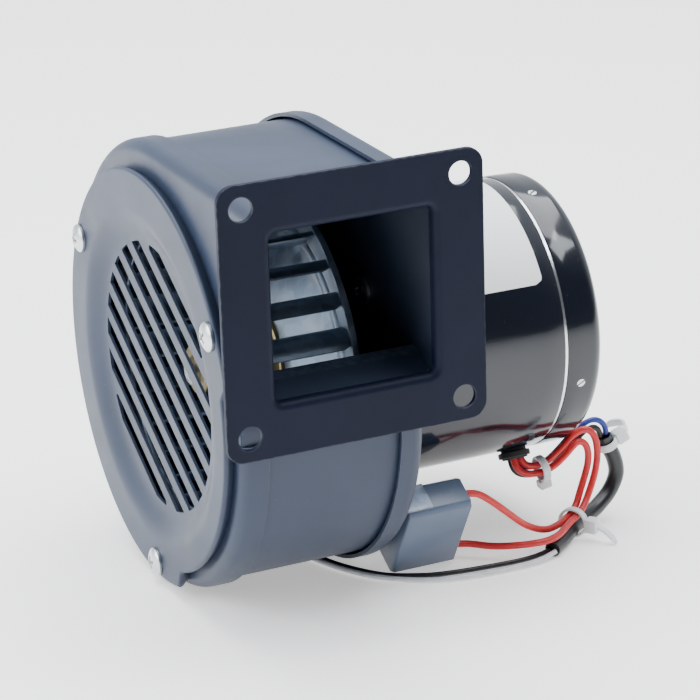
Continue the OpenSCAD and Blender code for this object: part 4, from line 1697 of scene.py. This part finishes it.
class Casing:
    """The pressed scroll casing and its outlet flange."""

    def build(self, shop: Workshop) -> None:
        """Dresses the casing.

        Args:
            shop: The workshop.
        """
        for node, rounding in (("scroll_wall", 0.3), ("side_pan", 0.3), ("rear_pan", 0.35)):
            piece = copy_of(node, node + "_sheet", rounding)
            shop.hand_over(piece, "casing_coat", Body.HOUSING, "housing_paint", node)
        flange = copy_of("outlet_flange", "flange_plate", 0.3)
        shop.hand_over(flange, "flange_coat", Body.HOUSING, "flange_paint", "outlet_flange")


@dataclass
class InletCover:
    """The dished and slotted inlet cover with its three screws. Millimetres and degrees."""

    face_x: float = -33.6
    outer_r: float = 63.5
    cut_r: float = 58.7
    cut_from: float = 166.0
    cut_to: float = 253.0
    height: float = 3.6
    dish_top: float = 50.0
    dish_floor: float = 43.0
    sheet: float = 0.9
    slots: int = 9
    pitch: float = 8.9
    slot_w: float = 5.0
    slot_angle: float = 31.0
    field_r: float = 41.0
    screw_r: float = 59.0
    screw_l: float = 6.8
    bend: float = 0.9
    punch_l: float = 8.0

    def rim_radius(self, angle: float) -> float:
        """Radius of the cover's edge, which steps in beside the scroll's front.

        Args:
            angle: The angle about the shaft.

        Returns:
            The radius.
        """
        turn = angle % 360.0
        ease = 2.2
        share = (eased((turn - self.cut_from + ease) / (2 * ease))
                 - eased((turn - self.cut_to + ease) / (2 * ease)))
        return self.outer_r - (self.outer_r - self.cut_r) * share

    def section(self, rim: float) -> list[Point]:
        """Outer skin of the cover from its middle to the side wall.

        Args:
            rim: Radius of the edge there.

        Returns:
            Points of x and radius.
        """
        x = self.face_x
        deep = self.height - 0.2
        points = [(x + deep, r) for r in (0.0, 12.0, 24.0, 36.0, self.dish_floor - 2.6)]
        steps = 14
        lo, hi = self.dish_floor - 2.2, self.dish_top + 1.6
        for i in range(steps + 1):
            share = i / steps
            points.append((x + deep * (1 - eased(share)), lo + (hi - lo) * share))
        points.append((x, hi + 1.5))
        bend = self.bend
        points.append((x, rim - bend - 0.8))
        points += reversed(arc((x + bend, rim - bend), bend, 90, 180, 6))
        points += [(x + bend + 0.7, rim - 0.25), (x + self.height - 0.5, rim - 1.5),
                   (x + self.height - 0.05, rim - 1.7)]
        return points

    def shell(self) -> bpy.types.Object:
        """Presses the cover's skin and gives it its thickness.

        Returns:
            The blank cover.
        """
        segments = 240
        rows = [self.section(self.rim_radius(360.0 * k / segments)) for k in range(segments)]
        points = [at_shaft(x, r, 360.0 * k / segments)
                  for k, row in enumerate(rows) for x, r in row]
        piece = from_faces("inlet_cover_pressing", points,
                           turned_faces(len(rows[0]), segments, False), 1e-6)
        face = min(piece.data.polygons, key=lambda polygon: polygon.center.x)
        if face.normal.x > 0:
            piece.data.flip_normals()
        return thickened(piece, self.sheet, -1.0)

    def slot_tool(self) -> bpy.types.Object:
        """Makes the punch for the slots, which stays inside the slotted circle.

        Returns:
            The punch.
        """
        punch = new_object("slot_punch", bpy.data.meshes.new("slot_punch"))
        SlotTree().apply(punch, {
            "Count": self.slots, "Pitch": self.pitch * MM, "Width": self.slot_w * MM,
            "Field": self.field_r * MM, "Depth": self.punch_l * MM})
        steps = 160
        ring = [(self.field_r * math.cos(FULL_TURN * k / steps) * MM,
                 self.field_r * math.sin(FULL_TURN * k / steps) * MM, z)
                for z in (-MM, (self.punch_l + 1) * MM) for k in range(steps)]
        field_plug = from_faces("slot_field", ring, stacked_faces(steps, 2), 1e-9)
        cut(punch, field_plug, "INTERSECT")
        turn = Matrix(((0, 0, 1, (self.face_x - 1) * MM), (1, 0, 0, SHAFT_Y * MM),
                       (0, 1, 0, SHAFT_Z * MM), (0, 0, 0, 1)))
        punch.data.transform(turn @ Matrix.Rotation(math.radians(self.slot_angle), 4, "Z"))
        return punch

    def build(self, shop: Workshop) -> None:
        """Makes the cover and its screws.

        Args:
            shop: The workshop.
        """
        cover = cut(self.shell(), self.slot_tool())
        shop.hand_over(smooth(cover, 38.0), "casing_coat", Body.HOUSING, "housing_paint",
                       "inlet_cover")
        screw = PanScrew().model("cover_screw_set", self.screw_l, self.screw_r)
        ring = shop.repeat.run(screw, shop.finish["screw_zinc"], 3, 30.0, 120.0, self.face_x)
        shop.hand_over(smooth(ring), "screw_zinc", Body.HOUSING, "zinc_screw", "cover_screws")


# ------------------------------------------------------------------ impeller


@dataclass
class Impeller:
    """The sirocco wheel with its hub. Millimetres."""

    radius: float = 52.0
    blade_outer: float = 50.4
    blade_inner: float = 42.0
    blade_bend: float = 8.2
    blade_t: float = 0.8
    blade_x0: float = -23.2
    plate_x: float = 12.8
    blades: int = 26
    corner: float = 3.4
    web_x: float = 3.8
    hub_r: float = 8.0
    hub_x0: float = -18.2
    shaft_r: float = 4.0

    def blade(self) -> bpy.types.Object:
        """Bends one blade, with its rear outer corner rounded.

        Returns:
            The blade, with the shaft through the origin.
        """
        middle_r = self.blade_bend - self.blade_t / 2
        reach = 0.0
        while True:
            y = self.blade_inner + middle_r * math.sin(reach)
            z = self.blade_bend - middle_r * math.cos(reach)
            if math.hypot(y, z) > self.blade_outer - 0.05 or reach > math.pi / 2:
                break
            reach += 0.002
        across, along = 12, 14
        span = middle_r * reach
        points = []
        for j in range(across + 1):
            s = span * j / across
            back = 0.0
            if s > span - self.corner:
                over = s - span + self.corner
                back = self.corner - math.sqrt(max(0.0, self.corner ** 2 - over ** 2))
            turn = reach * j / across
            y = self.blade_inner + middle_r * math.sin(turn)
            z = self.blade_bend - middle_r * math.cos(turn)
            for i in range(along + 1):
                x = self.blade_x0 + (self.plate_x - self.blade_x0 - back) * i / along
                points.append(Vector((x, y, z)) * MM)
        row = along + 1
        faces = [(j * row + i, j * row + i + 1, (j + 1) * row + i + 1, (j + 1) * row + i)
                 for j in range(across) for i in range(along)]
        return thickened(from_faces("wheel_blades", points, faces), self.blade_t, 0.0)

    def plate(self) -> bpy.types.Object:
        """Presses the back plate: turned edge, embossed ring and coned middle.

        Returns:
            The plate.
        """
        p, t, w = self.plate_x, self.blade_t, self.web_x
        front = [(w, 8.0), (w, 20.6), (w + 0.5, 22.0), (p - 0.6, 35.2), (p - 0.1, 36.4),
                 (p, 37.4), (p, 38.6), (p - 0.7, 39.4), (p - 0.95, 40.4), (p - 0.7, 41.4),
                 (p, 42.2), (p, self.radius - 1.6), (p - 0.3, self.radius - 1.2),
                 (p - 1.6, self.radius - 1.0)]
        rear = [(p - 1.6, self.radius), (p - 0.2, self.radius), (p + t - 0.3, self.radius - 0.3),
                (p + t, self.radius - 0.9), (p + t, 42.0), (p + t - 0.6, 41.0),
                (p + t - 0.75, 40.4), (p + t - 0.6, 39.8), (p + t, 38.8), (p + t, 37.0),
                (p + t - 0.2, 35.8), (w + t + 0.4, 21.8), (w + t, 20.2), (w + t, 8.0)]
        return lathe("wheel_back_plate", front + rear, 160)

    def front_ring(self) -> bpy.types.Object:
        """Rolls the ring at the blades' front ends.

        Returns:
            The ring.
        """
        x0 = self.blade_x0 - self.blade_t
        inner, outer = self.blade_inner - 0.5, self.radius
        profile = [(x0 + 0.2, inner), (x0, inner + 0.3), (x0, outer - 0.9)]
        profile += [(x0 + 0.9 - 0.9 * math.cos(math.radians(a)),
                     outer - 0.9 + 0.9 * math.sin(math.radians(a))) for a in (30, 60, 90)]
        profile += [(x0 + 3.0, outer), (x0 + 3.0, outer - 1.2), (x0 + 0.9, outer - 1.2),
                    (x0 + 0.8, outer - 1.4), (x0 + 0.8, inner + 0.1)]
        return lathe("wheel_front_ring", profile, 160)

    def hub(self) -> bpy.types.Object:
        """Turns the brass hub with its riveted collar.

        Returns:
            The hub.
        """
        x0, x1 = self.hub_x0, self.web_x
        bore = self.shaft_r + 0.02
        profile = [(x0, bore + 0.5), (x0, self.hub_r - 0.6), (x0 + 0.6, self.hub_r),
                   (x1 - 1.6, self.hub_r), (x1 - 1.6, 16.4), (x1 - 1.2, 17.0), (x1, 17.0),
                   (x1, self.hub_r), (x1 + 2.6, self.hub_r), (x1 + 2.8, self.hub_r - 0.3),
                   (x1 + 2.8, bore), (x0 + 0.5, bore)]
        return lathe("wheel_hub", profile, 96)

    def build(self, shop: Workshop) -> None:
        """Makes the wheel.

        Args:
            shop: The workshop.
        """
        blades = shop.repeat.run(self.blade(), shop.finish["wheel_zinc"], self.blades)
        for piece, finish, slot, node in (
                (smooth(blades, 28.0), "wheel_zinc", "galvanised", "impeller_blades"),
                (self.plate(), "wheel_zinc", "galvanised", "impeller_back_plate"),
                (self.front_ring(), "wheel_zinc", "galvanised", "impeller_front_ring"),
                (self.hub(), "hub_brass", "brass_hub", "impeller_hub")):
            shop.hand_over(piece, finish, Body.ROTOR, slot, node)
        shop.dress("hub_set_screw", "black_screw")
        shop.dress("motor_shaft", "shaft_steel")


# ------------------------------------------------------------------ motor


@dataclass
class Motor:
    """The motor's shell, end cap, fixings and what is inside. Millimetres and degrees."""

    radius: float = 42.5
    wall: float = 1.2
    tube_x0: float = 31.5
    tube_x1: float = 84.5
    seam: float = 0.8
    cap_x1: float = 97.8
    shoulder: float = 4.0
    boss_r: float = 17.0
    fixing_l: float = 4.7
    fixing_r: float = 35.0
    fixing_x: float = 26.8
    end_screw_x: float = 90.3
    label_x: tuple[float, float] = (56.0, 80.0)
    label_a: tuple[float, float] = (70.0, 150.0)
    label_corner: float = 2.5
    label_t: float = 0.06
    end_slot: tuple[float, float] = (41.7, 44.0)
    end_slot_w: float = 0.5
    end_slot_turn: float = 35.0

    def tube(self) -> bpy.types.Object:
        """Rolls the motor's shell.

        Returns:
            The shell.
        """
        r, w, a, b = self.radius, self.wall, self.tube_x0, self.tube_x1
        profile = [(a, r - w), (a, r - 0.35), (a + 0.1, r - 0.1), (a + 0.35, r)]
        profile += [(a + (b - a) * i / 8, r) for i in range(1, 8)]
        profile += [(b - 0.35, r), (b - 0.1, r - 0.1), (b, r - 0.35), (b, r - w)]
        return lathe("motor_shell", profile, 180)

    def end_cap(self) -> bpy.types.Object:
        """Turns the end cap with its rounded shoulder and bearing boss.

        Returns:
            The cap.
        """
        r, x0, x1, s = self.radius, self.tube_x1 + self.seam, self.cap_x1, self.shoulder
        profile = [(x0, r - self.wall - 0.1), (x0, r - 0.4), (x0 + 0.12, r - 0.12), (x0 + 0.4, r)]
        profile += [(x0 + 5, r), (x1 - s, r)]
        profile += [(x1 - s + s * math.sin(math.radians(a)), r - s + s * math.cos(math.radians(a)))
                    for a in (10, 20, 30, 40, 50, 60, 70, 80, 90)]
        profile += [(x1, 31.0), (x1 - 0.5, 30.2), (x1 - 0.5, 20.5), (x1, 19.6)]
        profile += [(x1 + 0.1, self.boss_r + 0.6), (x1 + 0.6, self.boss_r), (x1 + 1.9, self.boss_r),
                    (x1 + 2.35, self.boss_r - 0.2), (x1 + 2.5, self.boss_r - 0.8)]
        profile += [(x1 + 2.5, 4.0), (x1 + 2.2, 0.0), (x1 - 2, 0.0), (x1 - 2, r - 4), (x0, r - 4)]
        return lathe("motor_cap", profile, 180)

    def label(self) -> bpy.types.Object:
        """Wraps the bare label round the shell.

        Returns:
            The label.
        """
        (x0, x1), (a0, a1) = self.label_x, self.label_a
        corner, thick, steps = self.label_corner, self.label_t, 60
        length = math.radians(a1 - a0) * self.radius
        points, faces = [], []
        for i in range(steps + 1):
            share = i / steps
            along = length * share
            near = min(along, length - along)
            inset = 0.0
            if near < corner:
                inset = corner - math.sqrt(max(0.0, corner ** 2 - (corner - near) ** 2))
            for layer in (0.005, thick):
                for j in range(9):
                    x = x0 + inset + (x1 - x0 - 2 * inset) * j / 8
                    points.append(at_shaft(x, self.radius + layer, a0 + (a1 - a0) * share))
        row = 18
        for i in range(steps):
            for j in range(8):
                a = i * row + j
                faces.append((a, a + 1, a + 1 + row, a + row))
                b = a + 9
                faces.append((b, b + row, b + 1 + row, b + 1))
            for j in (0, 8):
                a = i * row + j
                quad = (a, a + row, a + 9 + row, a + 9)
                faces.append(quad if j == 0 else quad[::-1])
        for i in (0, steps):
            for j in range(8):
                a = i * row + j
                faces.append((a, a + 1, a + 10, a + 9))
        return from_faces("blank_label_sheet", points, faces)

    def end_screws(self, shop: Workshop) -> bpy.types.Object:
        """Makes the four slotted screws in the end cap's edge.

        Args:
            shop: The workshop.

        Returns:
            The ring of screws.
        """
        profile = [(0.0, 39.5), (1.5, 39.5), (1.5, 42.3), (1.35, 42.5), (0.0, 42.55)]
        steps = 28
        points = []
        for k in range(steps):
            turn = FULL_TURN * k / steps
            points += [Vector((q * math.cos(turn), r, q * math.sin(turn))) * MM
                       for q, r in profile]
        screw = from_faces("end_cap_screw_set", points,
                           turned_faces(len(profile), steps, False), 1e-6)
        half = self.end_slot_w / 2
        box = [Vector((2 * u, y, v * half)) * MM for y in self.end_slot for u, v in CORNERS]
        cut(screw, from_faces("slot_cutter", box, stacked_faces(4, 2)))
        screw.data.transform(Matrix.Rotation(math.radians(self.end_slot_turn), 4, "Y"))
        return shop.repeat.run(screw, shop.finish["screw_zinc"], 4, 15.0, 90.0,
                               self.end_screw_x)

    def fixings(self, shop: Workshop) -> bpy.types.Object:
        """The four screws that hold the motor to the casing."""
        screw = PanScrew().model("motor_fixing_screw_set", self.fixing_l, self.fixing_r)
        return shop.repeat.run(screw, shop.finish["screw_zinc"], 4, 45.0, 90.0, self.fixing_x)

    def build(self, shop: Workshop) -> None:
        """Makes the motor.

        Args:
            shop: The workshop.
        """
        for piece, finish, slot, *nodes in (
                (self.tube(), "motor_gloss", "motor_paint", "motor_tube"),
                (self.end_cap(), "motor_gloss", "motor_paint", "motor_end_cap"),
                (copy_of("motor_front_bell", "motor_front_bell_casting", 0.3), "motor_gloss",
                 "motor_paint", "motor_front_bell"),
                (copy_of("seam_ring", "seam_band"), "bright_seam", "bright_ring", "seam_ring"),
                (self.label(), "blank_label", "motor_paint"),
                (smooth(self.end_screws(shop)), "screw_zinc", "zinc_screw", "end_cap_screws"),
                (smooth(self.fixings(shop)), "screw_zinc", "zinc_screw", "motor_fixing_screws"),
                (copy_of("lead_grommet", "grommet_rubber", 0.4), "black_rubber", "black_rubber",
                 "lead_grommet")):
            shop.hand_over(piece, finish, Body.HOUSING, slot, *nodes)
        for node, finish in (("stator_core", "core_sheets"), ("stator_windings", "winding_copper"),
                             ("bearing_outer_rings", "bearing_steel"),
                             ("bearing_balls", "bearing_steel"), ("rotor_core", "core_sheets"),
                             ("rotor_end_rings", "cast_bars"),
                             ("bearing_inner_rings", "bearing_steel")):
            shop.dress(node, finish)


# ------------------------------------------------------------------ capacitor


@dataclass
class Capacitor:
    """The potted capacitor, its bracket and its screw. Millimetres and degrees."""

    corner: Point = (30.0, 46.0, -106.3)
    length: float = 29.0
    width: float = 11.5
    depth: float = 21.0
    lean: float = 30.0
    wall: float = 1.2
    chamfer: float = 1.6
    screw_past: float = 6.0
    screw_l: float = 4.2

    def place(self) -> Matrix:
        """The capacitor's own frame: width, length and depth along X.

        Returns:
            The matrix, in millimetres.
        """
        swap = Matrix(((0, 0, 1, 0), (1, 0, 0, 0), (0, 1, 0, 0), (0, 0, 0, 1)))
        turn = Matrix.Rotation(math.radians(self.lean), 4, "X")
        return Matrix.Translation(Vector(self.corner)) @ turn @ swap

    def outline(self, inset: float) -> list[tuple[float, float]]:
        """Outline of the case with its corners cut, moved in.

        Args:
            inset: How far it is moved in.

        Returns:
            Eight corners.
        """
        w, l, c = self.width, self.length, self.chamfer
        i, k = inset, max(0.2, c - inset * 0.6)
        return [(i + k, i), (w - i - k, i), (w - i, i + k), (w - i, l - i - k),
                (w - i - k, l - i), (i + k, l - i), (i, l - i - k), (i, i + k)]

    def stack(self, name: str, rings: Sequence[tuple[float, float]]) -> bpy.types.Object:
        """Stacks outlines along the depth and closes both ends.

        Args:
            name: The piece's name.
            rings: Inset and depth of each outline.

        Returns:
            The piece.
        """
        place = self.place()
        points = [(place @ Vector((x, y, z))) * MM for inset, z in rings
                  for x, y in self.outline(inset)]
        return from_faces(name, points, stacked_faces(8, len(rings)), 1e-9)

    def build(self, shop: Workshop) -> None:
        """Makes the capacitor.

        Args:
            shop: The workshop.
        """
        d, w = self.depth, self.wall
        case = self.stack("capacitor_shell", [(0.9, 0.0), (0.25, 0.25), (0.0, 0.9), (0.0, d - 0.4),
                                              (0.25, d), (w - 0.2, d), (w, d - 0.3), (w, d - 1.8)])
        soften(case, 0.35, 2, 25.0)
        house = Body.HOUSING
        shop.hand_over(case, "capacitor_plastic", house, "capacitor_plastic", "capacitor_case")
        fill = self.stack("capacitor_fill", [(w + 0.05, d - 1.9), (w + 0.05, d - 0.5),
                                             (w + 0.5, d - 0.85), (w + 1.2, d - 1.0)])
        shop.hand_over(smooth(fill, 60.0), "capacitor_resin", house, "potting_resin",
                       "capacitor_potting")
        strap = copy_of("capacitor_bracket", "capacitor_strap", 0.2)
        shop.hand_over(strap, "bracket_zinc", house, "galvanised", "capacitor_bracket")
        screw = PanScrew().model("capacitor_fixing", self.screw_l, 0.0, outward=1.0)
        seat = self.place() @ Vector((self.width / 2, self.length + self.screw_past, -1.0))
        turn = Matrix.Translation(seat * MM) @ Matrix.Rotation(math.radians(self.lean), 4, "X")
        screw.data.transform(turn)
        shop.hand_over(smooth(screw), "screw_zinc", house, "zinc_screw", "capacitor_screw")


# ------------------------------------------------------------------ the whole blower


def main() -> None:
    """Builds the studio and the blower's pieces in order."""
    logging.basicConfig(level=logging.INFO, format="%(name)s: %(message)s")
    shop = Workshop()
    Studio().build(shop)
    leads = Leads()
    ties = (
        CableTie("clip_by_grommet", "lead_clip", leads.by_motor([(7.7, 7.6, -0.9)])[0],
                 turn=(0, 80, 0), inner_r=3.4, lock=3.0, lock_at=0.0),
        CableTie("tie_upper", "upper_tie", (110.4, 56, -82.4), turn=(0, 157, 0), inner_r=2.7,
                 lock=4.2, lock_at=180.0, tail=13.0, tail_bend=-190.0),
        CableTie("tie_lower", "lower_tie", (92.5, 45.5, -101.35), turn=(0, 90, 37), inner_r=4.0,
                 lock=4.2, lock_at=-90.0, tail=8.0, tail_bend=60.0),
    )
    on_sleeve = [tie.build(shop) for tie in ties][1:]
    leads.build(shop, on_sleeve)
    Casing().build(shop)
    InletCover().build(shop)
    Impeller().build(shop)
    Motor().build(shop)
    Capacitor().build(shop)


if __name__ == "__main__":
    main()
